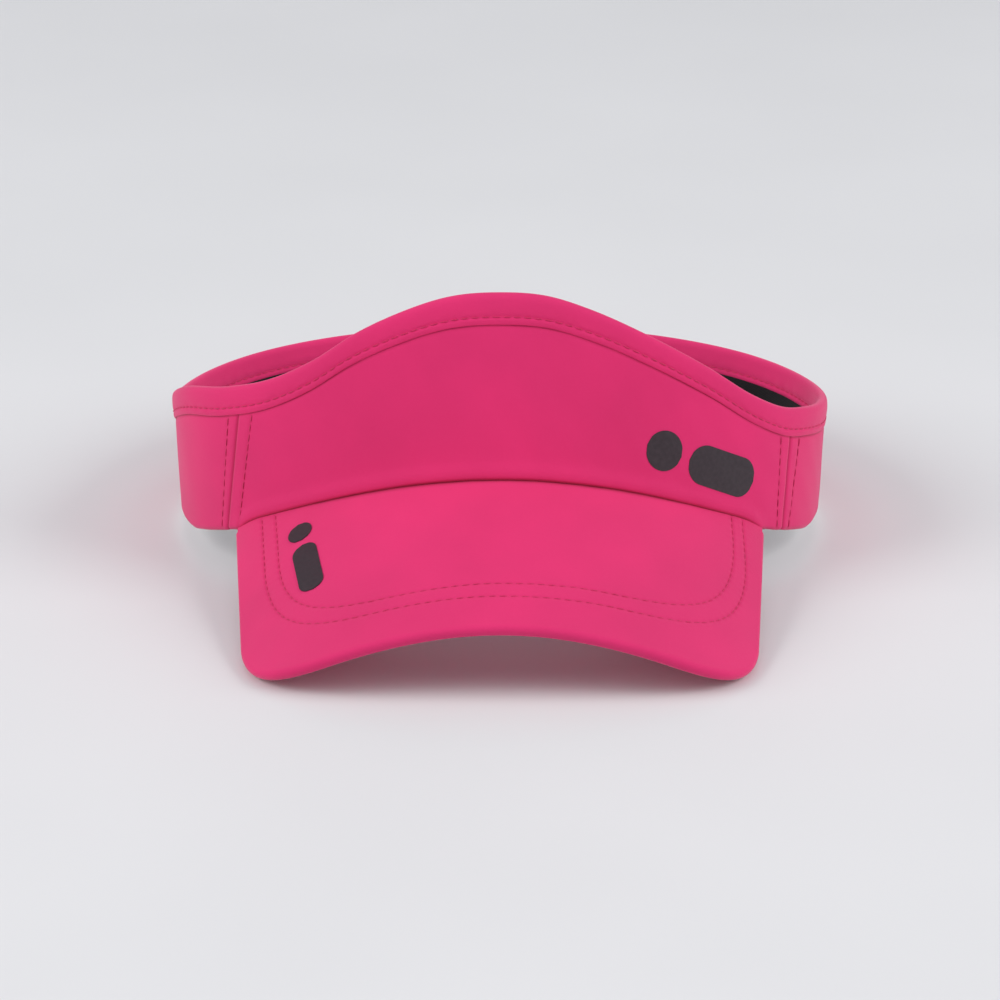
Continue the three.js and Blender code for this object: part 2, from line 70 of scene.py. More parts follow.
RIGHT_ROWS = (5.4, 5.4), (2.9, 4.6)
PANEL_END = 152.0
SWEATBAND_HEIGHT = 36.0

# The brim: a piece of a cylinder that leans down to the front.
BRIM_CREST, BRIM_DROP, BRIM_RADIUS, BRIM_END = 40.85, 20.0, 120.0, 53.0
BRIM_THICK = 3.8
HEEL_DIP, DIP_FROM, DIP_AHEAD, DIP_FADE, DIP_TURN = 1.4, 76.0, 10.0, 24.0, 6.5
HEEL_SLOPE, EDGE_ROUND = 0.65, 1.6
EDGE_LENGTH, SIDE_LENGTH = 320, 84
FRONT_MIDDLE, FRONT_LEAVE, FRONT_REACH = (0, 65.8), (20, 65.8), (30, 67.2)
CORNER_START, CORNER_PULL = (50, 67.2), (68, 67.2)
CORNER_PUSH, CORNER_END, HEEL = (78.5, 60.5), (81.3, 46), (87.6, -14)

# How the whole visor leans and sits when it stands on its brim corners and the back of its band.
REST_LEAN = -3.635
REST_SHIFT = np.array([0.025, 22.445, -3.662])

# The closure at the back.
WEB_THICK, WEB_WIDTH, WEB_MIDDLE = 1.4, 20.0, 22.0
RING_BAR, RING_SPACING, RING_START = 3.0, 11.3, 161.0
STRAP_OFFSET = -2.0
FOLD_RADIUS = 2.65
BAR_OFFSET = STRAP_OFFSET + FOLD_RADIUS
FOLD_TOP = BAR_OFFSET + FOLD_RADIUS
ANCHOR = 145.5
LOOP_FROM, LOOP_TO = 173.0, 205.5
HOOK_FROM, HOOK_TO = 176.0, 197.0
FLAP_END = 200.0

# Sewing.
CLOTH, LINING_CLOTH, COVER, STIFFENER, FILM_THICK = 0.6, 0.35, 0.5, 1.6, 0.14
LINING_OFFSET, SEWN_UNDER, MOST_SWELL = -2.65, 0.9, 0.9
ALLOWANCE, ALLOWANCE_FADE = 4.5, 10
STITCH, STITCH_GAP, THREAD_RADIUS = 2.5, 0.55, 0.2
PITCH = STITCH + STITCH_GAP


# ---- Curves and surfaces ----

def cos_sin(degrees):
    return math.cos(math.radians(degrees)), math.sin(math.radians(degrees))


def unit(vectors):
    return vectors / np.linalg.norm(vectors, axis=-1, keepdims=True)


def bell(distance, width):
    """A smooth bump, 1 high at its middle, that fades over the width."""
    return np.exp(-((distance / width) ** 2))


def lengths(path):
    """The length along a path, or along each of several, up to every point."""
    steps = np.cumsum(np.linalg.norm(np.diff(path, axis=-2), axis=-1), -1)
    return np.concatenate([np.zeros((*path.shape[:-2], 1)), steps], -1)


def sample(path, length, places):
    """The points of a path at places along it."""
    return np.stack([np.interp(places, length, axis) for axis in path.T], -1)


def even(path, count):
    """The path again, at evenly spaced places."""
    length = lengths(path)
    return sample(path, length, np.linspace(0, length[-1], count))


def through(p0, p1, p2, p3, u):
    """The smooth curve from p1 to p2, given the points before and after them."""
    return 0.5 * (2 * p1 + (p2 - p0) * u + (2 * p0 - 5 * p1 + 4 * p2 - p3) * u**2
                  + (3 * p1 - p0 - 3 * p2 + p3) * u**3)


def smooth(stations, at):
    """A smooth rising or falling curve through the stations, level at both ends."""
    x, y = np.array(stations, float).T
    width = np.diff(x)
    slope = np.diff(y) / width
    before, after = slope[:-1], slope[1:]
    mean = (before * width[1:] + after * width[:-1]) / (width[1:] + width[:-1])
    steepest = 3 * np.minimum(np.abs(before), np.abs(after))
    tangent = np.zeros(len(x))
    tangent[1:-1] = np.where(before * after > 0, np.sign(mean) * np.minimum(np.abs(mean), steepest), 0)
    k = np.clip(np.searchsorted(x, at, side="right") - 1, 0, len(slope) - 1)
    span = x[k + 1] - x[k]
    u = (at - x[k]) / span
    curve = (y[k + 1] - y[k]) * u * u * (3 - 2 * u)
    return y[k] + curve + span * u * (1 - u) * (tangent[k] * (1 - u) - tangent[k + 1] * u)


def lean_turn():
    c, s = cos_sin(REST_LEAN)
    return np.array([[1, 0, 0], [0, c, s], [0, -s, c]])


LEAN = lean_turn()


def stand(points):
    """Turns points of the level visor, in millimetres, to its standing pose, in metres."""
    return (points @ LEAN + REST_SHIFT) * MM


def level_band(angle, height, offset):
    """Points of the band before it stands, in millimetres."""
    turn = np.radians(angle)
    ahead, aside = np.cos(turn), np.sin(turn)
    out_x, out_y = aside / HALF_WIDTH, -ahead / HALF_LENGTH
    size = np.hypot(out_x, out_y)
    ends = np.where(ahead > 0, math.tan(math.radians(LEAN_FRONT)), math.tan(math.radians(LEAN_REAR)))
    slope = ends * ahead**2 + math.tan(math.radians(LEAN_SIDE)) * aside**2
    reach = (slope * height + offset) / size
    x = HALF_WIDTH * aside + out_x * reach
    y = -HALF_LENGTH * ahead + out_y * reach
    return np.stack(np.broadcast_arrays(x, y, height), -1)


def band_point(angle, height, offset):
    angle, height, offset = np.broadcast_arrays(*(np.asarray(v, float) for v in (angle, height, offset)))
    return stand(level_band(angle, height, offset))


def per_degree(angle):
    """Millimetres round the head for one degree."""
    turn = np.radians(angle)
    return np.radians(np.hypot(HALF_WIDTH * np.cos(turn), HALF_LENGTH * np.sin(turn)))


def arc_place(angle):
    """Millimetres round the head from the front centre."""
    steps = np.linspace(-220, 220, 881)
    length = np.concatenate([[0], np.cumsum(per_degree((steps[1:] + steps[:-1]) / 2) * np.diff(steps))])
    return np.interp(angle, steps, length - np.interp(0, steps, length))


def brim_axes():
    ahead, fall = cos_sin(BRIM_DROP)
    return level_band(0.0, BRIM_CREST, 0.0), np.array([0, -ahead, -fall]), np.array([0, -fall, ahead])


CREST, FORWARD, ABOVE = brim_axes()


def heel_dip(across, along):
    """How far the brim bends down near its two heels, where the band pulls it."""
    aside = np.clip((np.abs(across) - DIP_FROM) / (HEEL[0] - DIP_FROM), 0, 1)
    return HEEL_DIP * aside**2 * np.clip((DIP_AHEAD - along) / DIP_FADE, 0, 1)


def brim_point(across, along, lift):
    """Points of the brim: across its arch, forward along it, and above its upper face."""
    across, along, lift = np.broadcast_arrays(*(np.asarray(v, float) for v in (across, along, lift)))
    turn = across / BRIM_RADIUS
    rise = (BRIM_RADIUS + lift) * np.cos(turn) - BRIM_RADIUS - heel_dip(across, along)
    points = CREST + along[..., None] * FORWARD + rise[..., None] * ABOVE
    points[..., 0] += (BRIM_RADIUS + lift) * np.sin(turn)
    return stand(points)


def brim_place(points):
    """The place across, along and above the brim of points in the level visor."""
    arm = points - CREST
    up = arm @ ABOVE + BRIM_RADIUS
    across = BRIM_RADIUS * np.arctan2(points[..., 0], up)
    return across, arm @ FORWARD, np.hypot(points[..., 0], up) - BRIM_RADIUS


def seam_height(angle, offset, lift):
    """The height at which the band meets the face of the brim at a given lift."""
    angle = np.asarray(angle, float)
    low, high = np.full(angle.shape, -30.0), np.full(angle.shape, 80.0)
    for _ in range(34):
        middle = (low + high) / 2
        below = brim_place(level_band(angle, middle, offset))[2] < lift
        low, high = np.where(below, middle, low), np.where(below, high, middle)
    return low


def dipped_seam_height(angle, offset, lift):
    """The same, with the bend of the brim near its heels."""
    dip = HEEL_DIP * np.clip(1 + (np.abs(angle) - BRIM_END) / DIP_TURN, 0, 1) ** 2
    return seam_height(angle, offset, lift - dip)


HEEL_HEIGHT = float(dipped_seam_height(BRIM_END, 0.0, 0.0))


def top_edge(angle):
    turn = np.abs(angle)
    return np.where(np.asarray(angle) > 0, smooth(TOP_LEFT, turn), smooth(TOP_RIGHT, turn))


def seam_edge(angle):
    """The visible lower edge of the band: the brim seam in front, the folded edge at the sides."""
    turn = np.abs(np.asarray(angle, float))
    side = smooth([(BRIM_END, HEEL_HEIGHT), *SIDE_FOOT], np.maximum(turn, BRIM_END))
    return np.where(turn < BRIM_END, dipped_seam_height(np.minimum(turn, BRIM_END), 0.0, 0.0), side)


def foot_edge(angle):
    """The lower edge with the seam allowance that hangs behind the brim."""
    hidden = np.clip((BRIM_END - np.abs(angle)) / ALLOWANCE_FADE, 0, 1)
    return seam_edge(angle) - ALLOWANCE * hidden


def hem_foot(angle):
    return top_edge(angle) - HEM_HEIGHT


def sweatband_top(angle):
    return np.minimum(hem_foot(angle) + 0.6, foot_edge(angle) + SWEATBAND_HEIGHT)


def ripple(s, seed, size=1.0):
    """A soft uneven wave of height about 1 along a length in millimetres."""
    rng = np.random.default_rng(seed)
    waves = [(rng.uniform(9, 40) * size, rng.uniform(0, 6.28)) for _ in range(5)]
    return sum(np.sin(6.28 * s / length + phase) for length, phase in waves) / 3


def band_wave(angle, height):
    return 0.07 * ripple(arc_place(angle) + 0.6 * height, 5)


def brim_wave(across, along):
    return 0.05 * ripple(across + 0.5 * along, 31)


# ---- Mesh helpers ----

def choose(piece=None):
    """Selects one piece alone, or nothing."""
    bpy.ops.object.select_all(action="DESELECT")
    if piece:
        piece.select_set(True)
        bpy.context.view_layer.objects.active = piece


def put(name, data):
    """A new object in the scene."""
    made = bpy.data.objects.new(name, data)
    bpy.context.scene.collection.objects.link(made)
    return made


def points_of(piece):
    return np.array([v.co for v in piece.data.vertices])


def small_shape(add, **size):
    """The points and faces of a primitive that is copied many times."""
    choose()
    add(**size)
    model = bpy.context.object
    points = points_of(model)
    faces = [tuple(p.vertices) for p in model.data.polygons]
    bpy.data.objects.remove(model)
    return points, faces


def copies(name, points, faces):
    """One object made of many copies of a small shape, each with its own points."""
    size = points.shape[1]
    mesh = bpy.data.meshes.new(name)
    all_faces = [tuple(i + n * size for i in face) for n in range(len(points)) for face in faces]
    mesh.from_pydata(points.reshape(-1, 3).tolist(), [], all_faces)
    return put(name, mesh)


def index(share, count):
    return np.round(share * count).astype(int)


def grid(name, columns, rows):
    """A flat grid to be shaped, with each vertex's share across and up."""
    choose()
    bpy.ops.mesh.primitive_grid_add(x_subdivisions=columns, y_subdivisions=rows, size=2)
    piece = bpy.context.object
    piece.name = name
    flat = np.zeros(len(piece.data.vertices) * 3)
    piece.data.vertices.foreach_get("co", flat)
    flat = flat.reshape(-1, 3)
    return piece, (flat[:, 0] + 1) / 2, (flat[:, 1] + 1) / 2


def shape(piece, points, cloth_x, cloth_y):
    """Puts the vertices in place and lays the cloth's own plane, in metres, in the UV map."""
    mesh = piece.data
    mesh.vertices.foreach_set("co", points.astype(np.float32).ravel())
    corner = np.zeros(len(mesh.loops), np.int32)
    mesh.loops.foreach_get("vertex_index", corner)
    plane = np.stack([cloth_x, cloth_y], -1)[corner] * MM
    mesh.uv_layers[0].name = "Cloth"
    mesh.uv_layers[0].data.foreach_set("uv", plane.astype(np.float32).ravel())
    mesh.update()


def mark_painted_shade(piece, depth):
    """Stores the painted shade of each vertex, from 0 to 1, where it lies deep in a seam, a groove or under
    an edge; the cloth's colour darkens by it.
    """
    painted_shade = piece.data.attributes.new("painted_shade", "FLOAT", "POINT")
    painted_shade.data.foreach_set("value", np.clip(depth, 0, 1).astype(np.float32))


def edit(piece, *steps):
    """Runs edit-mode operators, each a function, on the whole piece."""
    choose(piece)
    bpy.ops.object.mode_set(mode="EDIT")
    bpy.ops.mesh.select_all(action="SELECT")
    for step in steps:
        step()
    bpy.ops.object.mode_set(mode="OBJECT")


def thicken(piece, thickness):
    """Gives a sheet its thickness on the inner side and closes its rims."""
    wall = piece.modifiers.new("wall", "SOLIDIFY")
    wall.thickness = thickness * MM
    wall.offset = -1
    apply_all(piece)


def apply_all(piece):
    choose(piece)
    for modifier in list(piece.modifiers):
        bpy.ops.object.modifier_apply(modifier=modifier.name)


def close_tube(piece):
    """Joins the first and last row of a rolled-up grid, fills its two ends and turns it outwards."""
    edit(
        piece,
        lambda: bpy.ops.mesh.remove_doubles(threshold=1e-6),
        lambda: bpy.ops.mesh.select_all(action="DESELECT"),
        lambda: bpy.ops.mesh.select_non_manifold(),
        lambda: bpy.ops.mesh.fill_holes(sides=0),
        lambda: bpy.ops.mesh.select_all(action="SELECT"),
        lambda: bpy.ops.mesh.normals_make_consistent(inside=False),
    )


def finish_piece(piece, body, material, replaced=(), crisp=40):
    """Shades the piece, gives it its finish and puts it on its body."""
    choose(piece)
    bpy.ops.object.shade_smooth_by_angle(angle=math.radians(crisp))
    piece.data.materials.clear()
    piece.data.materials.append(material)
    if body:
        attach(piece, body)
    if replaced:
        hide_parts(*replaced)
    return piece


def rounded_loop(corners, count):
    """Closed smooth curves through corners, (columns, corners, 2), at evenly stepped places."""
    corners = np.asarray(corners, float)
    sides = corners.shape[1]
    steps = np.linspace(0, sides, count, endpoint=True)
    k = np.minimum(steps.astype(int), sides - 1)
    near = (np.take(corners, (k + shift) % sides, axis=1) for shift in (-1, 0, 1, 2))
    return through(*near, (steps - k)[None, :, None])


def band_tube(name, start, end, corners, step=0.9, rows=56):
    """A closed piece round the band. corners(angle) gives its section as (offset, height) arrays."""
    columns = max(2, int(abs(arc_place(end) - arc_place(start)) / step))
    piece, u, v = grid(name, columns, rows)
    angle = start + (end - start) * u
    column, row = index(u, columns), index(v, rows)
    line = start + (end - start) * np.arange(columns + 1) / columns
    section = [np.stack(np.broadcast_arrays(o, h, line)[:2], -1) for o, h in corners(line)]
    loop = rounded_loop(np.stack(section, 1), rows + 1)
    offset, height = loop[column, row, 0], loop[column, row, 1]
    shape(piece, band_point(angle, height, offset), arc_place(angle), lengths(loop)[column, row])
    close_tube(piece)
    return piece


# ---- Finishes ----

class Finish:
    """A node material under construction, with short ways to add and link nodes."""

    def __init__(self, name, roughness, specular):
        self.material = bpy.data.materials.new(name)
        self.material.use_nodes = True
        self.nodes = self.material.node_tree.nodes
        self.links = self.material.node_tree.links
        self.inputs = self.nodes["Principled BSDF"].inputs
        self.inputs["Roughness"].default_value = roughness
        self.inputs["Specular IOR Level"].default_value = specular

    def feed(self, socket, value):
        """Links a socket, or sets it to a number or a colour."""
        if isinstance(value, bpy.types.NodeSocket):
            self.links.new(value, socket)
        else:
            socket.default_value = (*value, 1) if isinstance(value, tuple) else value

    def node(self, kind, **inputs):
        made = self.nodes.new(kind)
        for key, value in inputs.items():
            self.feed(made.inputs[key], value)
        return made

    def math(self, operation, a, b=0.0):
        made = self.nodes.new("ShaderNodeMath")
        made.operation = operation
        for socket, value in zip(made.inputs, (a, b)):
            self.feed(socket, value)
        return made.outputs[0]

    def place(self):
        """The object's own place, in metres."""
        return self.nodes.new("ShaderNodeTexCoord").outputs["Object"]

    def plane(self):
        """The cloth's own plane, in metres."""
        made = self.nodes.new("ShaderNodeUVMap")
        made.uv_map = "Cloth"
        return made.outputs["UV"]

    def noise(self, place, scale, detail=2.0, rough=0.5):
        made = self.node("ShaderNodeTexNoise", Vector=place, Scale=scale, Detail=detail, Roughness=rough)
        return made.outputs["Fac"]

    def ramp(self, value, low, high, dark, light):
        """Maps a value between low and high to a colour between dark and light."""
        made = self.nodes.new("ShaderNodeValToRGB")
        for stop, position, colour in zip(made.color_ramp.elements, (low, high), (dark, light)):
            stop.position = position
            stop.color = (*colour, 1)
        self.links.new(value, made.inputs["Fac"])
        return made.outputs["Color"]

    def mix(self, share, a, b):
        made = self.nodes.new("ShaderNodeMix")
        made.data_type = "RGBA"
        for socket, value in ((made.inputs[0], share), (made.inputs[6], a), (made.inputs[7], b)):
            self.feed(socket, value)
        return made.outputs[2]

    def colour(self, socket):
        self.links.new(socket, self.inputs["Base Color"])

    def rough(self, value, low, high):
        """Lets the roughness vary between low and high."""
        made = self.node("ShaderNodeMapRange", **{"Value": value, "To Min": low, "To Max": high})
        self.links.new(made.outputs["Result"], self.inputs["Roughness"])

    def bump(self, height, distance, strength=1.0, under=None):
        made = self.node("ShaderNodeBump", Height=height, Distance=distance * MM, Strength=strength)
        if under is not None:
            self.links.new(under, made.inputs["Normal"])
        self.links.new(made.outputs["Normal"], self.inputs["Normal"])
        return made.outputs["Normal"]

    def sheen(self, weight, roughness, tint):
        self.inputs["Sheen Weight"].default_value = weight
        self.inputs["Sheen Roughness"].default_value = roughness
        self.inputs["Sheen Tint"].default_value = (*tint, 1)

    def weave(self, place, across, along):
        """A plain weave: threads of the given widths, in millimetres, that rise and sink in turn."""
        apart = self.node("ShaderNodeSeparateXYZ", Vector=place)
        wave_x = self.math("SINE", self.math("MULTIPLY", apart.outputs["X"], math.pi / (across * MM)))
        wave_y = self.math("SINE", self.math("MULTIPLY", apart.outputs["Y"], math.pi / (along * MM)))
        return self.math("MULTIPLY_ADD", self.math("MULTIPLY", wave_x, wave_y), 0.5)


def shade(base, share):
    """A colour made darker or lighter."""
    return tuple(min(1.0, part * share) for part in base)


def shell_cloth(name="shell_cloth", base=(0.77, 0.025, 0.16), painted_shade_colour=(0.34, 0.004, 0.036)):
    """Smooth matte microfibre: a fine plain weave, a soft nap and slightly uneven dye, darkened by painted
    shade in its seams, stitch channels and under its edges.
    """
    cloth = Finish(name, roughness=0.78, specular=0.28)
    place = cloth.plane()
    weave = cloth.weave(place, 0.21, 0.21)
    slub = cloth.noise(place, 900.0, 3.0, 0.6)
    patch = cloth.noise(place, 28.0, 2.0)
    dyed = cloth.ramp(patch, 0.3, 0.7, shade(base, 0.93), shade(base, 1.05))
    threads = cloth.mix(cloth.math("MULTIPLY", weave, 0.22), dyed, shade(base, 0.8))
    painted_shade = cloth.nodes.new("ShaderNodeAttribute")
    painted_shade.attribute_name = "painted_shade"
    # Painted shade: the colour darkens towards the given dark pink where the stored vertex attribute marks
    # seams, stitch channels and the undersides of edges.
    cloth.colour(cloth.mix(painted_shade.outputs["Fac"], threads, painted_shade_colour))
    cloth.rough(slub, 0.7, 0.86)
    fine = cloth.bump(weave, 0.05, 0.35)
    cloth.bump(slub, 0.06, 0.35, under=fine)
    cloth.sheen(0.4, 0.4, (1.0, 0.62, 0.74))
    return cloth.material


def knit_cloth():
    """Black brushed knit: fine ribs of loops under a short nap."""
    cloth = Finish("sweatband_cloth", roughness=0.92, specular=0.2)
    place = cloth.plane()
    ribs = cloth.weave(place, 0.55, 0.32)
    nap = cloth.noise(place, 1600.0, 4.0, 0.65)
    patch = cloth.noise(place, 40.0, 2.0)
    tone = cloth.ramp(patch, 0.35, 0.7, (0.004, 0.0035, 0.004), (0.009, 0.008, 0.009))
    cloth.colour(cloth.mix(cloth.math("MULTIPLY", ribs, 0.4), tone, (0.016, 0.014, 0.016)))
    cloth.rough(nap, 0.84, 0.98)
    loops = cloth.bump(ribs, 0.16, 0.6)
    cloth.bump(nap, 0.12, 0.5, under=loops)
    cloth.sheen(0.12, 0.5, (0.6, 0.58, 0.62))
    return cloth.material


def tape_cloth(name, base, rib=0.9, thread=0.45):
    """Flat woven tape: lengthwise ribs crossed by a fine weft."""
    cloth = Finish(name, roughness=0.75, specular=0.3)
    place = cloth.plane()
    ribs = cloth.weave(place, thread, rib)
    fibre = cloth.noise(place, 1400.0, 3.0, 0.6)
    dyed = cloth.ramp(cloth.noise(place, 60.0), 0.3, 0.7, shade(base, 0.9), base)
    cloth.colour(cloth.mix(cloth.math("MULTIPLY", ribs, 0.35), dyed, shade(base, 0.68)))
    cloth.rough(fibre, 0.66, 0.85)
    raised = cloth.bump(ribs, 0.2, 0.7)
    cloth.bump(fibre, 0.05, 0.4, under=raised)
    cloth.sheen(0.15, 0.4, tuple(min(1.0, c + 0.3) for c in base))
    return cloth.material


def thread_finish(name, base):
    """Twisted polyester thread with a faint gloss."""
    thread = Finish(name, roughness=0.5, specular=0.4)
    place = thread.place()
    twist = thread.noise(place, 2600.0, 2.0)
    thread.colour(thread.ramp(twist, 0.3, 0.7, shade(base, 0.75), base))
    thread.rough(twist, 0.42, 0.62)
    thread.bump(twist, 0.05, 0.6)
    return thread.material


def film_finish():
    """Thin dark grey heat-transfer film that lets the weave show through a little."""
    film = Finish("mark_film", roughness=0.5, specular=0.35)
    place = film.plane()
    weave = film.weave(place, 0.21, 0.21)
    grain = film.noise(place, 700.0, 3.0)
    film.colour(film.ramp(grain, 0.3, 0.75, (0.030, 0.020, 0.026), (0.044, 0.031, 0.038)))
    film.rough(grain, 0.44, 0.6)
    pressed = film.bump(weave, 0.03, 0.3)
    film.bump(grain, 0.04, 0.3, under=pressed)
    return film.material


def moulded(name, base, roughness, grain=500.0, depth=0.03):
    """Moulded plastic or rubber with a fine grain and faint handling marks."""
    skin = Finish(name, roughness=roughness, specular=0.45)
    place = skin.place()
    grit = skin.noise(place, grain, 4.0, 0.6)
    wear = skin.noise(place, 90.0, 2.0)
    skin.colour(skin.ramp(wear, 0.35, 0.75, shade(base, 0.8), shade(base, 1.25)))
    skin.rough(wear, roughness - 0.06, roughness + 0.08)
    skin.bump(grit, depth, 0.5)
    return skin.material


def felt(name, base, scale=600.0):
    """Pressed fibre or foam: an open, uneven grain."""
    pad = Finish(name, roughness=0.9, specular=0.2)
    place = pad.place()
    fibre = pad.noise(place, scale, 5.0, 0.7)
    pad.colour(pad.ramp(fibre, 0.3, 0.75, shade(base, 0.8), base))
    pad.rough(fibre, 0.82, 0.96)
    pad.bump(fibre, 0.2, 0.7)
    return pad.material


SHELL = shell_cloth()
LINING = shell_cloth("lining_cloth", (0.60, 0.024, 0.12), (0.2, 0.004, 0.03))
KNIT = knit_cloth()
WEBBING = tape_cloth("webbing", (0.62, 0.03, 0.125))
LOOP_PILE = felt("loop_pile", (0.022, 0.019, 0.022), 1500.0)
HOOKS = moulded("hook_tape", (0.02, 0.02, 0.022), 0.5)
RUBBER = moulded("rubber", (0.03, 0.03, 0.032), 0.62, 900.0)
RING_PLASTIC = moulded("ring_plastic", (0.018, 0.018, 0.02), 0.38)
THREAD = thread_finish("thread", (0.68, 0.022, 0.125))
BLACK_THREAD = thread_finish("sweatband_thread", (0.02, 0.018, 0.02))
FILM = film_finish()
LABEL = tape_cloth("label", (0.8, 0.79, 0.77), 0.3, 0.2)
BOARD = felt("board", (0.78, 0.76, 0.72), 300.0)
INTERLINING = felt("interlining", (0.7, 0.68, 0.64))


# ---- The band's cloth ----

def seam_angle(seam, height_share):
    return seam[0] + (seam[1] - seam[0]) * height_share


def row_distance(seam, ahead, height_share):
    """How far the topstitching lies from a side seam, in front of it and behind it."""
    front, back = LEFT_ROWS if seam[0] > 0 else RIGHT_ROWS
    return np.where(ahead, seam_angle(front, height_share), seam_angle(back, height_share))


def seam_relief(seam, distance, height_share, along):
    """The offset of the cloth near a side seam, and the painted shade in its groove and along its stitch
    rows.
    """
    gap = np.abs(distance)
    row = row_distance(seam, distance * seam[0] < 0, height_share)
    raised = 0.12 / (1 + np.exp((gap - row - 0.5) / 0.35))
    groove, channel = bell(gap, 0.42), bell(gap - row, 0.5)
    pucker = channel * np.cos(2 * np.pi * along / PITCH)
    offset = raised - 0.42 * groove - 0.16 * channel + 0.04 * pucker
    # The second value is painted shade, darkest in the seam's groove.
    return offset, 0.6 * groove + 0.15 * channel


def lower_relief(above, is_front):
    """The offset of the cloth near its lower edge, from the height above it, and the painted shade along that
    edge, strongest in front where the band rolls in over the brim.
    """
    roll = np.clip((1.3 - above) / 1.3, 0, None)
    swell = 0.55 * bell(above - 2.6, 2.4) * is_front
    return swell - 0.9 * roll**2, np.clip(1.35 - above / 0.8, 0, 1) * (0.2 + 0.8 * is_front)


def panel(name, start, end, node, step=0.8):
    """One outer panel of the band. start and end are its seams as (foot angle, head angle)."""
    width = arc_place(np.mean(end)) - arc_place(np.mean(start))
    heights = hem_foot(np.linspace(start[0], end[0], 9)) - foot_edge(np.linspace(start[0], end[0], 9))
    piece, u, v = grid(name, int(width / step), int(heights.max() / step) + 4)
    angle = seam_angle(start, v) + (seam_angle(end, v) - seam_angle(start, v)) * u
    edge, hem_low = seam_edge(angle), hem_foot(angle)
    is_front = np.clip((BRIM_END + 2 - np.abs(angle)) / 4, 0, 1)
    low = edge - SEWN_UNDER * is_front
    height = low + (hem_low + 2.2 - low) * v
    offset, painted_shade = lower_relief(height - edge, is_front)
    for seam in (start, end):
        if abs(seam[0]) < PANEL_END:
            distance = (angle - seam_angle(seam, v)) * per_degree(angle)
            rise, dark = seam_relief(seam, distance, v, height)
            offset, painted_shade = offset + rise, np.maximum(painted_shade, dark)
        else:
            inside = np.abs(angle - seam[0]) * per_degree(angle)
            offset = offset - 0.9 * np.clip(1 - inside / 1.3, 0, 1) ** 2
    offset = offset - 0.12 * bell(height - hem_low, 0.9) + band_wave(angle, height)
    # Painted shadow under the lower edge of the hem.
    painted_shade = np.maximum(painted_shade, 0.75 * bell(height - hem_low + 0.1, 0.4))
    shape(piece, band_point(angle, height, offset), arc_place(angle), height)
    mark_painted_shade(piece, painted_shade)
    thicken(piece, CLOTH)
    return finish_piece(piece, "band", SHELL, [node], crisp=60)


def hem():
    """The tape folded over the top edge: a soft roll with one stitch row near its lower edge."""
    def corners(line):
        foot, top = hem_foot(line), top_edge(line)
        row = foot + HEM_ROW
        wave = 0.06 * ripple(arc_place(line), 11, 0.5)
        pull = 0.04 * np.cos(2 * np.pi * arc_place(line) / PITCH)
        return [
            (-0.05, foot + 0.3), (0.12, foot), (0.3, foot + 0.3), (0.46 + wave, row - 0.9),
            (0.3 - pull, row), (0.5 + wave, row + 0.9), (0.6, row + 2.2), (0.55, top - 1.5),
            (0.3, top - 0.2), (-0.3, top + 0.6), (-1.2, top + 0.9), (-2.1, top + 0.6), (-2.75, top - 0.3),
            (-3.0, top - 1.7), (-3.2 - wave, row + 2.2), (-3.1 - wave, row + 0.9), (-2.85 + pull, row),
            (-3.15, row - 0.9), (-3.1 - wave, foot + 0.35), (-2.75, foot - 0.05), (-2.4, foot + 0.4),
            (-2.3, row + 1.5), (-1.9, top - 1.9), (-1.2, top - 0.9), (-0.7, top - 1.9), (-0.3, row + 1.5),
        ]

    piece = band_tube("hem", -PANEL_END, PANEL_END, corners, step=0.75, rows=104)
    return finish_piece(piece, "band", SHELL, ["top_binding"], crisp=70)


def inner_lining():
    """Lining behind the panels, from the lower edge to the hem."""
    piece, u, v = grid("inner_lining", 330, 36)
    angle = (2 * u - 1) * (PANEL_END - 0.8)
    low = foot_edge(angle) + 0.6
    height = low + (hem_foot(angle) + 1.5 - low) * v
    offset = LINING_OFFSET + 0.05 * ripple(arc_place(angle) + height, 23)
    shape(piece, band_point(angle, height, offset), arc_place(angle), height)
    thicken(piece, LINING_CLOTH)
    nodes = ["front_lining", "left_seam_tape", "right_seam_tape"]
    return finish_piece(piece, "band", LINING, nodes, crisp=60)


def sweatband_section(line):
    """The section of the flat sewn pad, before it swells."""
    foot, top = foot_edge(line) + 0.3, sweatband_top(line)
    middle = (foot + top) / 2
    return [
        (-2.9, foot + 0.5), (-3.6, foot), (-4.3, foot + 0.6), (-4.6, foot + 2.5), (-5.1, foot + 6),
        (-5.3, middle), (-5.1, top - 6), (-4.7, top - 2.2), (-4.3, top - 0.3), (-3.8, top + 0.3),
        (-3.35, top - 0.3), (-3.0, top - 4), (-2.9, middle), (-2.9, foot + 4),
    ]


def swell(piece, row_rise, frames=16):
    """Fills the pad by cloth simulation with its sewn edges held, then applies it."""
    held = piece.vertex_groups.new(name="sewn")
    held.add(row_rise.nonzero()[0].tolist(), 1.0, "REPLACE")
    before = points_of(piece)
    cloth = piece.modifiers.new("fill", "CLOTH")
    settings = cloth.settings
    settings.vertex_group_mass, settings.quality = "sewn", 6
    settings.use_pressure, settings.uniform_pressure_force = True, 4.0
    settings.tension_stiffness, settings.bending_stiffness = 25, 0.6
    settings.effector_weights.gravity = 0
    cloth.point_cache.frame_end = frames
    for moment in range(1, frames + 1):
        bpy.context.scene.frame_set(moment)
    apply_all(piece)
    move = points_of(piece) - before
    size = np.linalg.norm(move, axis=1, keepdims=True)
    capped = before + move * np.minimum(1, MOST_SWELL * MM / np.maximum(size, 1e-9))
    piece.data.vertices.foreach_set("co", capped.astype(np.float32).ravel())
    bpy.context.scene.frame_set(1)


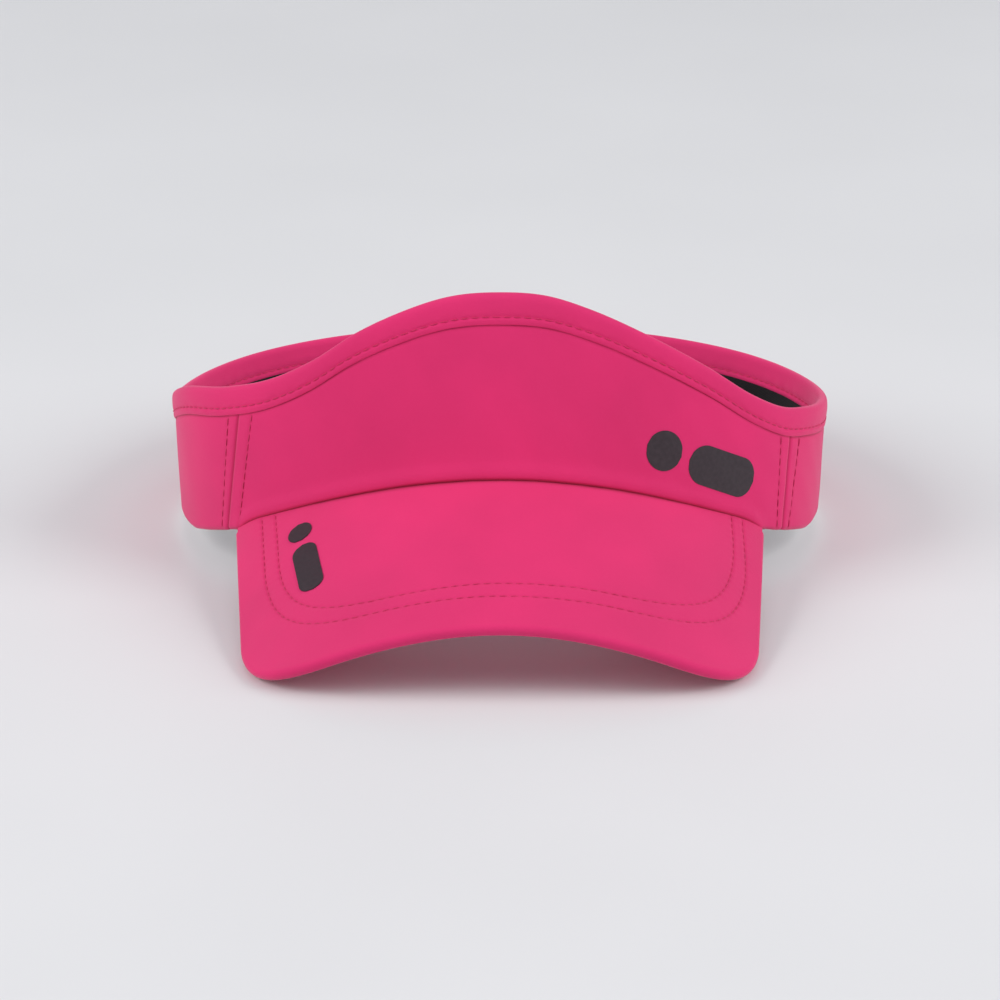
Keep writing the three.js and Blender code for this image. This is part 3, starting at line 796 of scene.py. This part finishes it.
def sweatband():
    """The padded black band round the inside."""
    end = PANEL_END - 1
    piece = band_tube("sweatband_pad", -end, end, sweatband_section, step=2.2, rows=28)
    points, line = points_of(piece) / MM, np.linspace(-end, end, 721)
    round_head = band_point(line, 0.0, 0.0)[:, :2] / MM
    line = line[np.linalg.norm(points[:, None, :2] - round_head[None], axis=2).argmin(1)]
    level = (points - REST_SHIFT) @ LEAN.T
    rise = np.minimum(level[:, 2] - foot_edge(line), sweatband_top(line) - level[:, 2])
    swell(piece, (rise < 3.0) | (np.abs(line) > end - 2))
    round_off = piece.modifiers.new("round", "SUBSURF")
    round_off.levels = round_off.render_levels = 1
    apply_all(piece)
    finish_piece(piece, "band", KNIT, ["sweatband", "sweatband_foam"], crisp=70)
    return piece


# ---- The brim ----

def bezier(start, pull, push, end, count):
    t = np.linspace(0, 1, count)[:, None]
    a, b, c, d = (np.array(p, float) for p in (start, pull, push, end))
    return a * (1 - t) ** 3 + 3 * b * t * (1 - t) ** 2 + 3 * c * t * t * (1 - t) + d * t**3


def both_sides(half, count):
    """A path across the whole brim from its +X half, which runs from the middle to the heel."""
    mirrored = half[::-1] * np.array([-1, 1])
    return even(np.concatenate([mirrored, half[1:]]), count)


def free_edge(count):
    corner = bezier(CORNER_START, CORNER_PULL, CORNER_PUSH, CORNER_END, 40)
    front = bezier(FRONT_MIDDLE, FRONT_LEAVE, FRONT_REACH, CORNER_START, 30)
    return both_sides(np.concatenate([front[:-1], corner, [HEEL]]), count)


def row_half(middle, start, pull, push, end, heel):
    """One half of a topstitching row: a slightly hollow front, a round corner, a nearly straight side."""
    front = bezier((0, middle), (start[0] * 0.4, middle), (start[0] * 0.6, start[1]), start, 20)
    return np.concatenate([front[:-1], bezier(start, pull, push, end, 40), [heel]])


def stitch_line(left, right, count=900):
    """A whole row across the brim, from the wearer's right to the wearer's left."""
    mirrored = row_half(*right)[::-1] * np.array([-1, 1])
    return even(np.concatenate([mirrored, row_half(*left)[1:]]), count)


OUTER_ROW = stitch_line(
    left=(51.9, (36, 51.6), (60, 51.6), (77.8, 41), (77.9, 4.7), (77.9, -12)),
    right=(51.9, (36, 52.9), (60, 52.9), (71.5, 42), (74, 10.7), (76.3, -11.5)),
)
INNER_ROW = stitch_line(
    left=(46.3, (32, 45.8), (54, 45.8), (73.4, 37.5), (73.7, 0), (73.7, -11)),
    right=(46.3, (32, 47.5), (54, 47.5), (67, 39.5), (69, 10), (71.1, -9.8)),
)


def distance_to(path, places):
    """How far each place of the flat brim lies from a path, and how far along it."""
    tree = KDTree(len(path))
    for i, (x, y) in enumerate(path):
        tree.insert((x, y, 0), i)
    tree.balance()
    found = [tree.find((x, y, 0)) for x, y in places]
    return np.array([f[2] for f in found]), lengths(path)[[f[1] for f in found]]


def brim_columns(step, lift):
    """Places along the free edge, the way out of it, and where each runs back to at the band."""
    edge = even(free_edge(1400), int(EDGE_LENGTH / step))
    way = np.gradient(edge, axis=0)
    outward = unit(np.stack([-way[:, 1], way[:, 0]], -1))
    return edge, outward, np.linspace(-1, 1, len(edge)) * (BRIM_END + HEEL_SLOPE * lift)


def brim_seam(line, offset, lift):
    """The flat places where a face of the brim meets the band."""
    height = dipped_seam_height(line, offset, lift)
    return np.stack(brim_place(level_band(line, height, offset))[:2], -1)


def brim_cover(name, side, node, inset, reach, rise, turn, step=0.9):
    """One cover of the brim, side 1 the upper, -1 the lower, with a roll past its rim.

    The rim lies an inset inside the free edge, and the roll goes out by reach and over by rise.
    """
    face = 0.0 if side > 0 else -BRIM_THICK
    edge, outward, line = brim_columns(step, face)
    roll_rows = 12
    columns, rows = len(edge) - 1, int(SIDE_LENGTH / step) + roll_rows
    piece, u, v = grid(name, columns, rows)
    column = index(u, columns)
    seam = brim_seam(line, -SEWN_UNDER, face)
    rim = edge - outward * inset
    flat_share = 1 - roll_rows / rows
    share = np.minimum(v / flat_share, 1)[:, None]
    places = seam[column] * (1 - share) + rim[column] * share
    bend = np.clip((v - flat_share) / (1 - flat_share), 0, 1) * turn
    places = places + outward[column] * (reach * np.sin(bend))[:, None]
    relief, painted_shade = brim_relief(places, share[:, 0])
    lift = face + side * (relief * np.clip(1 - bend, 0, 1) - rise * (1 - np.cos(bend)))
    shape(piece, brim_point(places[:, 0], places[:, 1], lift), places[:, 0], places[:, 1])
    # Painted shade on the underside of the rolled rim, on top of the painted shade in the stitch channels and
    # at the band seam.
    mark_painted_shade(piece, np.maximum(painted_shade, 0.7 * (bend > 0.9 * turn)))
    if side > 0:
        edit(piece, bpy.ops.mesh.flip_normals)
    thicken(piece, COVER)
    return finish_piece(piece, "band", SHELL, [node], crisp=60)


def brim_stiffener():
    """The plastic board between the covers, short of their folds all round."""
    edge, outward, line = (part[2:-2] for part in brim_columns(3.0, -1.1))
    columns, rows = len(edge) - 1, 24
    piece, u, v = grid("brim_stiffener", columns, rows)
    column = index(u, columns)
    rim = edge - outward * 2.2
    places = brim_seam(line, 1.0, -1.1)[column] * (1 - v[:, None]) + rim[column] * v[:, None]
    shape(piece, brim_point(places[:, 0], places[:, 1], -1.1), places[:, 0], places[:, 1])
    edit(piece, bpy.ops.mesh.flip_normals)
    thicken(piece, STIFFENER)
    return finish_piece(piece, "band", BOARD, ["brim_board"])


def brim_relief(places, share):
    """Stitch channels, faint puckers beside them, and painted shade in the channels and along the band seam.
    """
    relief, painted_shade = brim_wave(*places.T), np.zeros(len(places))
    for row in (OUTER_ROW, INNER_ROW):
        distance, along = distance_to(row, places)
        channel = bell(distance, 0.55)
        pucker = bell(distance, 1.6) * np.cos(2 * np.pi * along / PITCH)
        relief = relief - 0.18 * channel + 0.03 * pucker
        painted_shade = np.maximum(painted_shade, 0.12 * channel)
    return relief, np.maximum(painted_shade, np.clip(1.2 - share / 0.022, 0, 1))


# ---- Stitches ----

def stitch_shape():
    """One stitch as points (along, aside, up) and faces: a short thread that dives in at both ends."""
    points, faces = small_shape(bpy.ops.mesh.primitive_uv_sphere_add, segments=8, ring_count=6, radius=1)
    along = np.sign(points[:, 2]) * np.abs(points[:, 2]) ** 0.7 * STITCH / 2
    belly = 0.14 * (1 - (2 * along / STITCH) ** 2) - 0.1
    return np.stack([along, points[:, 0] * THREAD_RADIUS, points[:, 1] * THREAD_RADIUS + belly], -1), faces


STITCH_POINTS, STITCH_FACES = stitch_shape()


def stitch_row(name, path, normals, material, body="band", pitch=PITCH):
    """A row of stitches along a dense path in metres, each lying on the cloth whose normals are given."""
    length = lengths(path) / MM
    count = max(1, int(length[-1] / pitch))
    centres = (np.arange(count) + 0.5) * length[-1] / count
    way = unit(sample(path, length, centres + 0.4) - sample(path, length, centres - 0.4))
    up = sample(normals, length, centres)
    up = unit(up - way * np.sum(up * way, axis=1, keepdims=True))
    frames = np.stack([way, np.cross(up, way), up], 1)
    turned_stitch = np.einsum("pk,nkx->npx", STITCH_POINTS * MM, frames)
    row = copies(name, sample(path, length, centres)[:, None] + turned_stitch, STITCH_FACES)
    return finish_piece(row, body, material, crisp=180)


def band_row(name, angle, height, offset, inward=False, material=THREAD, body="band"):
    """A stitch row on the band or its strap, outside or inside."""
    path = band_point(angle, height, offset)
    normals = band_point(angle, height, offset + (-1.0 if inward else 1.0)) - path
    return stitch_row(name, path, normals, material, body)


def sew_band():
    line = np.linspace(-PANEL_END + 1, PANEL_END - 1, 1200)
    row = hem_foot(line) + HEM_ROW
    band_row("hem_stitches_outside", line, row, 0.38)
    band_row("hem_stitches_inside", line, row, -2.93, inward=True)
    for side, seam in (("left", LEFT_SEAM), ("right", RIGHT_SEAM)):
        share = np.linspace(0.02, 0.985, 200)
        for part, way in (("front", -1), ("back", 1)):
            middle = seam_angle(seam, share)
            outward = way * math.copysign(1, seam[0])
            angle = middle + outward * row_distance(seam, way < 0, share) / per_degree(middle)
            height = seam_edge(angle) * (1 - share) + hem_foot(angle) * share
            band_row(f"{side}_seam_stitches_{part}", angle, height, 0.08)
    band_row("sweatband_stitches", line, foot_edge(line) + 2.2, -4.75, True, BLACK_THREAD)


def sew_brim():
    for name, row in (("outer", OUTER_ROW), ("inner", INNER_ROW)):
        for face, lift, way in (("top", -0.14, 1), ("under", 0.14 - BRIM_THICK, -1)):
            path = brim_point(row[:, 0], row[:, 1], lift)
            normals = brim_point(row[:, 0], row[:, 1], lift + way) - path
            stitch_row(f"brim_{name}_stitches_{face}", path, normals, THREAD)


# ---- Marks ----

def mark_part(name, length, width, middle, place, node):
    """A round-ended piece of film pressed on the cloth: place(along, across) gives its spot and lift."""
    piece, u, v = grid(name, int(length / 0.6), int(width / 0.6))
    radius, straight = width / 2, (length - width) / 2
    along = (2 * u - 1) * length / 2
    past = np.clip((np.abs(along) - straight) / radius, 0, 1)
    half = radius * np.sqrt(np.maximum(1 - past**2, 0.0))
    across = (2 * v - 1) * half
    shape(piece, place(middle + along, across), middle + along, across)
    edit(piece, lambda: bpy.ops.mesh.remove_doubles(threshold=1e-6))
    thicken(piece, FILM_THICK)
    return finish_piece(piece, "band", FILM, [node], crisp=50)


def mark(name, bar, dot, width, gap, turn, spot):
    """A dot and a bar in one slanting line; spot(side, up) gives the place of a point on the cloth."""
    c, s = cos_sin(turn)

    def place(along, across):
        return spot(along * c - across * s, along * s + across * c)

    total = bar + gap + dot
    mark_part(f"{name}_disc", dot, width, (dot - total) / 2, place, f"{name}_dot")
    mark_part(f"{name}_strip", bar, width, (total - bar) / 2, place, f"{name}_bar")


def front_mark():
    """A dot and a bar on the wearer's left of the front, along the slope of the band."""
    middle_angle, middle_height = 39.4, 41.3

    def spot(side, up):
        angle, height = middle_angle + side / per_degree(middle_angle), middle_height + up
        relief = lower_relief(height - seam_edge(angle), np.ones_like(angle))[0]
        return band_point(angle, height, relief + band_wave(angle, height) + FILM_THICK)

    mark("front_mark", bar=26.0, dot=12.0, width=12.0, gap=3.0, turn=-24.0, spot=spot)


def brim_mark():
    """The same mark, smaller, beside the stitching on the wearer's right of the brim."""
    def spot(side, ahead):
        across, along = side - 59.0, ahead + 17.5
        return brim_point(across, along, brim_wave(across, along) + FILM_THICK)

    mark("brim_mark", bar=23.0, dot=8.0, width=8.0, gap=2.6, turn=79.0, spot=spot)


# ---- The closure ----

def smooth_route(places, step=0.7):
    """A smooth curve through places (angle, offset), as points, their normals, the slant and lengths."""
    places = np.array(places, float)
    knots = lengths(band_point(places[:, 0], WEB_MIDDLE, places[:, 1])) / MM
    steps = np.linspace(0, knots[-1], max(3, int(knots[-1] / step)))
    k = np.clip(np.searchsorted(knots, steps, side="right") - 1, 0, len(knots) - 2)
    padded = np.concatenate([2 * places[:1] - places[1:2], places, 2 * places[-1:] - places[-2:-1]])
    u = ((steps - knots[k]) / (knots[k + 1] - knots[k]))[:, None]
    angle, offset = through(*(padded[k + shift] for shift in range(4)), u).T
    middle = band_point(angle, WEB_MIDDLE, offset)
    slant = unit(band_point(angle, WEB_MIDDLE + 1, offset) - middle)
    return middle, unit(np.cross(np.gradient(middle, axis=0), slant)), slant, steps


def flat_section(thickness, width, edge):
    """The section of a flat tape with soft edges, as (across the face, along the width) corners."""
    a, b = thickness / 2, width / 2
    half = np.array([(-a, -b + edge), (-a * 0.6, -b + edge * 0.25), (0, -b), (a * 0.6, -b + edge * 0.25),
                     (a, -b + edge), (a, -b / 2), (a, 0), (a, b / 2)])
    return np.concatenate([half, -half])[None]


def tape(name, places, thickness, width, step=0.7, rows=48, edge=0.6, relief=None):
    """A tape of even width that follows a route round the back of the head."""
    middle, normal, slant, steps = smooth_route(places, step)
    section = rounded_loop(flat_section(thickness, width, edge), rows + 1)[0]
    piece, u, v = grid(name, len(steps) - 1, rows)
    column, row = index(u, len(steps) - 1), index(v, rows)
    out, up = section[row].T
    if relief is not None:
        out = out + np.sign(out) * relief(steps[column], up)
    points = middle[column] + (normal[column] * out[:, None] + slant[column] * up[:, None]) * MM
    shape(piece, points, steps[column], lengths(section)[row])
    close_tube(piece)
    return piece


def level(start, end, offset, step=4.0):
    count = max(2, int(abs(end - start) / step) + 1)
    return [(angle, offset) for angle in np.linspace(start, end, count)]


def half_turn(bar, way):
    """Places round a bar of the ring, from its inner side to its outer side."""
    turns = np.radians(np.arange(-90, 91, 15))
    along = way * FOLD_RADIUS * np.cos(turns) / per_degree(bar)
    return list(zip(bar + along, BAR_OFFSET + FOLD_RADIUS * np.sin(turns)))


FAR_BAR = RING_START + RING_SPACING / float(per_degree(RING_START))
ON_PANEL = 0.85


def strap():
    """The strap from the right panel to the ring, through it and back over its far bar."""
    sewn = level(360 - ANCHOR, FAR_BAR + 2, STRAP_OFFSET)
    route = sewn + half_turn(FAR_BAR, -1) + [(FAR_BAR + 0.7, FOLD_TOP)]
    piece = tape("strap_webbing", route, WEB_THICK, WEB_WIDTH)
    finish_piece(piece, None, WEBBING, ["strap", "strap_fold"])
    start, end = band_point([FAR_BAR + 4.6, FAR_BAR + 2.2], WEB_MIDDLE, STRAP_OFFSET)
    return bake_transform(piece)


FLAP_OFFSET = 2.2


def flap():
    """The free end of the strap, folded back over the ring."""
    route = [(FAR_BAR + 0.72, FOLD_TOP), (FAR_BAR + 2, 2.95), (FAR_BAR + 4, 2.45)] + level(
        FAR_BAR + 6, FLAP_END, FLAP_OFFSET)
    piece = tape("flap_webbing", route, WEB_THICK, WEB_WIDTH)
    finish_piece(piece, None, WEBBING, ["strap_flap"])
    start, end = band_point([FAR_BAR + 0.7, FAR_BAR + 3.2], WEB_MIDDLE, FOLD_TOP)
    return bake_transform(piece)


def ring_tab():
    """The webbing loop sewn over the left panel's end, round the ring's near bar."""
    route = level(ANCHOR, RING_START - 2, STRAP_OFFSET) + half_turn(RING_START, 1) + [
        (RING_START - 3.5, 2.6), (PANEL_END + 1.5, 1.35), (PANEL_END - 1.5, ON_PANEL + 0.08),
        (ANCHOR + 3, ON_PANEL), (ANCHOR + 1, ON_PANEL)]
    piece = tape("ring_tab_webbing", route, WEB_THICK, WEB_WIDTH)
    return finish_piece(piece, "band", WEBBING, ["ring_tab"])


def sweep_loop(name, path, normal, radius_in, radius_out, rows=20):
    """A closed rod of oval section along a closed path, given with the direction that its face looks."""
    aside = np.cross(unit(np.roll(path, -1, 0) - np.roll(path, 1, 0)), normal)
    count = len(path)
    piece, u, v = grid(name, count, rows)
    column = index(u, count) % count
    oval = lambda wave: (np.sign(wave) * np.abs(wave) ** 0.8)[:, None]
    out, side = oval(np.cos(v * 2 * np.pi)) * radius_out, oval(np.sin(v * 2 * np.pi)) * radius_in
    shape(piece, path[column] + (aside[column] * side + normal * out) * MM, u * count, v * 10)
    edit(piece, lambda: bpy.ops.mesh.remove_doubles(threshold=1e-6),
         lambda: bpy.ops.mesh.normals_make_consistent(inside=False))
    return piece


def ring():
    """The rectangular ring: two bars and two end rails with round corners."""
    near, far = band_point([RING_START, FAR_BAR], WEB_MIDDLE, BAR_OFFSET)
    along = unit(far - near)
    up = unit(band_point(RING_START, WEB_MIDDLE + 1, BAR_OFFSET) - near)
    corner = 2.2
    straight_x, straight_y = RING_SPACING / 2 - corner, WEB_WIDTH / 2 + 1.9 - corner
    arcs = []
    for way_x, way_y, start in ((1, 1, 0), (-1, 1, 90), (-1, -1, 180), (1, -1, 270)):
        turns = np.radians(np.arange(start, start + 91, 10))
        arcs.append(np.stack([straight_x * way_x + corner * np.cos(turns),
                              straight_y * way_y + corner * np.sin(turns)], -1))
    outline = even(np.concatenate([*arcs, arcs[0][:1]]), 161)[:-1]
    path = (near + far) / 2 + (outline[:, :1] * along + outline[:, 1:] * up) * MM
    piece = sweep_loop("ring_frame", path, np.cross(along, up), 1.3, 1.45)
    return finish_piece(piece, "ring", RING_PLASTIC, ["ring"])


def loop_tape():
    """Brushed pile sewn on the strap."""
    fuzz = lambda s, up: 0.1 * np.sin(s * 5.1 + 3 * np.sin(up * 2.3)) * np.sin(up * 4.7 + 2 * np.sin(s * 1.9))
    piece = tape("loop_tape_pile", level(LOOP_FROM, LOOP_TO, -0.75), 1.0, 18.0, 0.4, 120, 0.5, fuzz)
    return finish_piece(piece, "band", LOOP_PILE, ["loop_tape"])


def hook_tape():
    """The hook tape's base under the free end."""
    piece = tape("hook_tape_base", level(HOOK_FROM, HOOK_TO, 1.15), 0.6, 18.0, 1.0, 32, 0.4)
    return finish_piece(piece, "flap", HOOKS, ["hook_tape"])


def hooks():
    """Rows of tiny hooks on the inner face of the hook tape, one shape copied along the rows."""
    pin, faces = small_shape(bpy.ops.mesh.primitive_cone_add, vertices=5, radius1=0.22 * MM,
                             radius2=0.1 * MM, depth=0.55 * MM)
    pin[:, 0] += np.maximum(pin[:, 2], 0) * 1.1
    middle, normal, slant, _ = smooth_route(level(HOOK_FROM + 0.8, HOOK_TO - 0.8, 1.15), 1.1)
    outwards = (middle - REST_SHIFT * MM) * (1, 1, 0)
    inward = -normal * np.sign(np.sum(normal * outwards, axis=1, keepdims=True))
    ups = np.arange(-8.05, 8.1, 1.15)
    lean = np.where(np.arange(len(ups)) % 2, 1, -1)[:, None, None]
    way, slant, inward = (each[:, None, None] for each in (np.cross(slant, normal), slant, inward))
    root = middle[:, None, None] + (slant * ups[:, None, None] + inward * 0.5) * MM
    points = root + pin[:, :1] * way * lean + pin[:, 1:2] * slant + pin[:, 2:] * inward
    row = copies("hook_rows", points.reshape(-1, *pin.shape), faces)
    edit(row, lambda: bpy.ops.mesh.normals_make_consistent(inside=False))
    return finish_piece(row, "flap", HOOKS)


def pull_tab():
    """The moulded grip on the free end, with raised ribs."""
    ribs = lambda s, up: 0.28 * np.clip(np.cos(2 * np.pi * (s - 1) / 2.2), 0, 1) * (np.abs(up) < 6.8)
    route = [(FLAP_END - 2.5, FLAP_OFFSET), (FLAP_END + 0.5, FLAP_OFFSET), (FLAP_END + 3, FLAP_OFFSET + 0.3),
             (FLAP_END + 6, FLAP_OFFSET + 1.2)]
    piece = tape("pull_tab_grip", route, 1.9, 17.5, 0.25, 72, 1.2, ribs)
    return finish_piece(piece, "flap", RUBBER, ["pull_tab"])


def zigzag(name, angle, offset, node):
    """A bar tack: dense stitches across the tape."""
    ups = np.arange(-9, 9.1, 0.45)
    places = [(angle + (0.35 if i % 2 else -0.35), WEB_MIDDLE + up) for i, up in enumerate(ups)]
    angles, heights = np.array(places).T
    path = even(band_point(angles, heights, offset), 600)
    normal = band_point(angle, WEB_MIDDLE, offset + 1) - band_point(angle, WEB_MIDDLE, offset)
    row = stitch_row(name, path, np.tile(normal, (len(path), 1)), THREAD, pitch=1.3)
    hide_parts(node)
    return row


def box_stitch(name, start, end, offset, body, inward=False):
    """A rectangle of stitches through the tape."""
    half, scale = 8.0, float(per_degree(180))
    corners = [(start, -half), (end, -half), (end, half), (start, half), (start, -half)]
    angles, ups = even(np.array(corners) * (scale, 1), 500).T
    return band_row(name, angles / scale, WEB_MIDDLE + ups, offset, inward, body=body)


def sew_closure():
    on_face = WEB_THICK / 2 + 0.02
    zigzag("left_bartack_stitches", ANCHOR + 3.0, ON_PANEL + on_face, "left_bartack")
    zigzag("right_bartack_stitches", -ANCHOR - 3.0, 0.1, "right_bartack")
    box_stitch("flap_stitches", HOOK_FROM + 0.8, HOOK_TO - 0.8, FLAP_OFFSET + on_face, "flap")
    box_stitch("strap_stitches", LOOP_FROM + 0.8, LOOP_TO - 0.8, STRAP_OFFSET - on_face, "band", True)


def care_label():
    """A blank ribbon folded in two, its ends caught in the sweatband's lower seam."""
    def corners(line):
        foot = foot_edge(line) + 1.6
        curl = 0.5 + 0.25 * np.sin(arc_place(line) / 6)
        return [(-5.7, foot), (-6.25, foot + 4), (-6.5 - curl * 0.4, foot + 10), (-6.5 - curl, foot + 15.6),
                (-6.2 - curl, foot + 16.1), (-5.95 - curl, foot + 15.6), (-6.1, foot + 10), (-5.95, foot + 4)]

    piece = band_tube("label_ribbon", 118.0, 134.0, corners, step=0.8, rows=56)
    return finish_piece(piece, "band", LABEL, ["care_label"])


# ---- The inner parts that the CAD gives ----

def dress_inner_parts():
    for node in ("front_interlining", "left_side_interlining", "right_side_interlining"):
        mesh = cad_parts[node].data
        mesh.materials.clear()
        mesh.materials.append(INTERLINING)


# ---- Room, light and camera ----

def floor_finish():
    floor = Finish("floor", roughness=0.75, specular=0.2)
    grain = floor.noise(floor.place(), 6.0, 2.0)
    floor.colour(floor.ramp(grain, 0.2, 0.8, (0.74, 0.74, 0.75), (0.78, 0.78, 0.79)))
    return floor.material


def floor():
    choose()
    bpy.ops.mesh.primitive_plane_add(size=60)
    ground = bpy.context.object
    ground.name = "floor"
    ground.data.materials.append(floor_finish())


def softbox(name, place, target, size, power):
    lamp = bpy.data.lights.new(name, "AREA")
    lamp.shape = "RECTANGLE"
    lamp.size, lamp.size_y = size
    lamp.energy = power
    box = put(name, lamp)
    box.location = place
    box.rotation_euler = (Vector(target) - Vector(place)).to_track_quat("-Z", "Y").to_euler()


def light():
    softbox("left_softbox", (1.58, -0.55, 1.14), (0, 0, 0.05), (1.0, 1.3), 21.0)
    softbox("right_softbox", (-1.58, -0.55, 1.14), (0, 0, 0.05), (1.0, 1.3), 21.0)
    softbox("top_softbox", (0, -0.3, 2.0), (0, 0, 0.05), (1.7, 1.3), 4.5)
    softbox("back_softbox", (0, 1.6, 1.1), (0, 0.05, 0.03), (1.2, 0.9), 3.0)
    world = bpy.data.worlds.new("studio")
    world.use_nodes = True
    sky = world.node_tree.nodes["Background"].inputs
    sky["Color"].default_value = (0.92, 0.94, 1.0, 1)
    sky["Strength"].default_value = 0.38
    bpy.context.scene.world = world
    bpy.context.scene.view_settings.view_transform = "Standard"


CAMERA_RISE, CAMERA_DISTANCE, CAMERA_LENS = 18.0, 1200.0, 138.2
AIM_HEIGHT, AIM_TILT = 25.0, 0.695


def camera():
    """A long lens in front of the visor, a little above the plane of its band."""
    level_share, rise_share = cos_sin(CAMERA_RISE)
    middle = np.array([0, 0, AIM_HEIGHT])
    place = stand(middle + CAMERA_DISTANCE * np.array([0, -level_share, rise_share]))
    lower = math.tan(math.radians(AIM_TILT)) * CAMERA_DISTANCE
    aim = stand(middle - lower * np.array([0, rise_share, level_share]))
    lens = bpy.data.cameras.new("camera")
    lens.lens = CAMERA_LENS
    eye = put("camera", lens)
    eye.location = place
    eye.rotation_euler = Vector(aim - place).to_track_quat("-Z", "Y").to_euler()
    bpy.context.scene.camera = eye


def band():
    panel("front_cloth", RIGHT_SEAM, LEFT_SEAM, "front_panel")
    panel("left_side_cloth", LEFT_SEAM, (PANEL_END, PANEL_END), "left_side_panel")
    panel("right_side_cloth", (-PANEL_END, -PANEL_END), RIGHT_SEAM, "right_side_panel")
    hem()
    inner_lining()
    sweatband()
    care_label()
    sew_band()


def brim():
    brim_cover("brim_top_cloth", 1, "brim_top_cover", EDGE_ROUND, EDGE_ROUND, BRIM_THICK / 2, math.pi)
    brim_cover("brim_under_cloth", -1, "brim_bottom_cover", EDGE_ROUND + 0.6, 0.55, 0.5, math.pi / 2)
    brim_stiffener()
    sew_brim()


def closure():
    strap()
    flap()
    ring_tab()
    ring()
    loop_tape()
    hook_tape()
    hooks()
    pull_tab()
    sew_closure()


camera()
floor()
light()
band()
brim()
closure()
front_mark()
brim_mark()
dress_inner_parts()
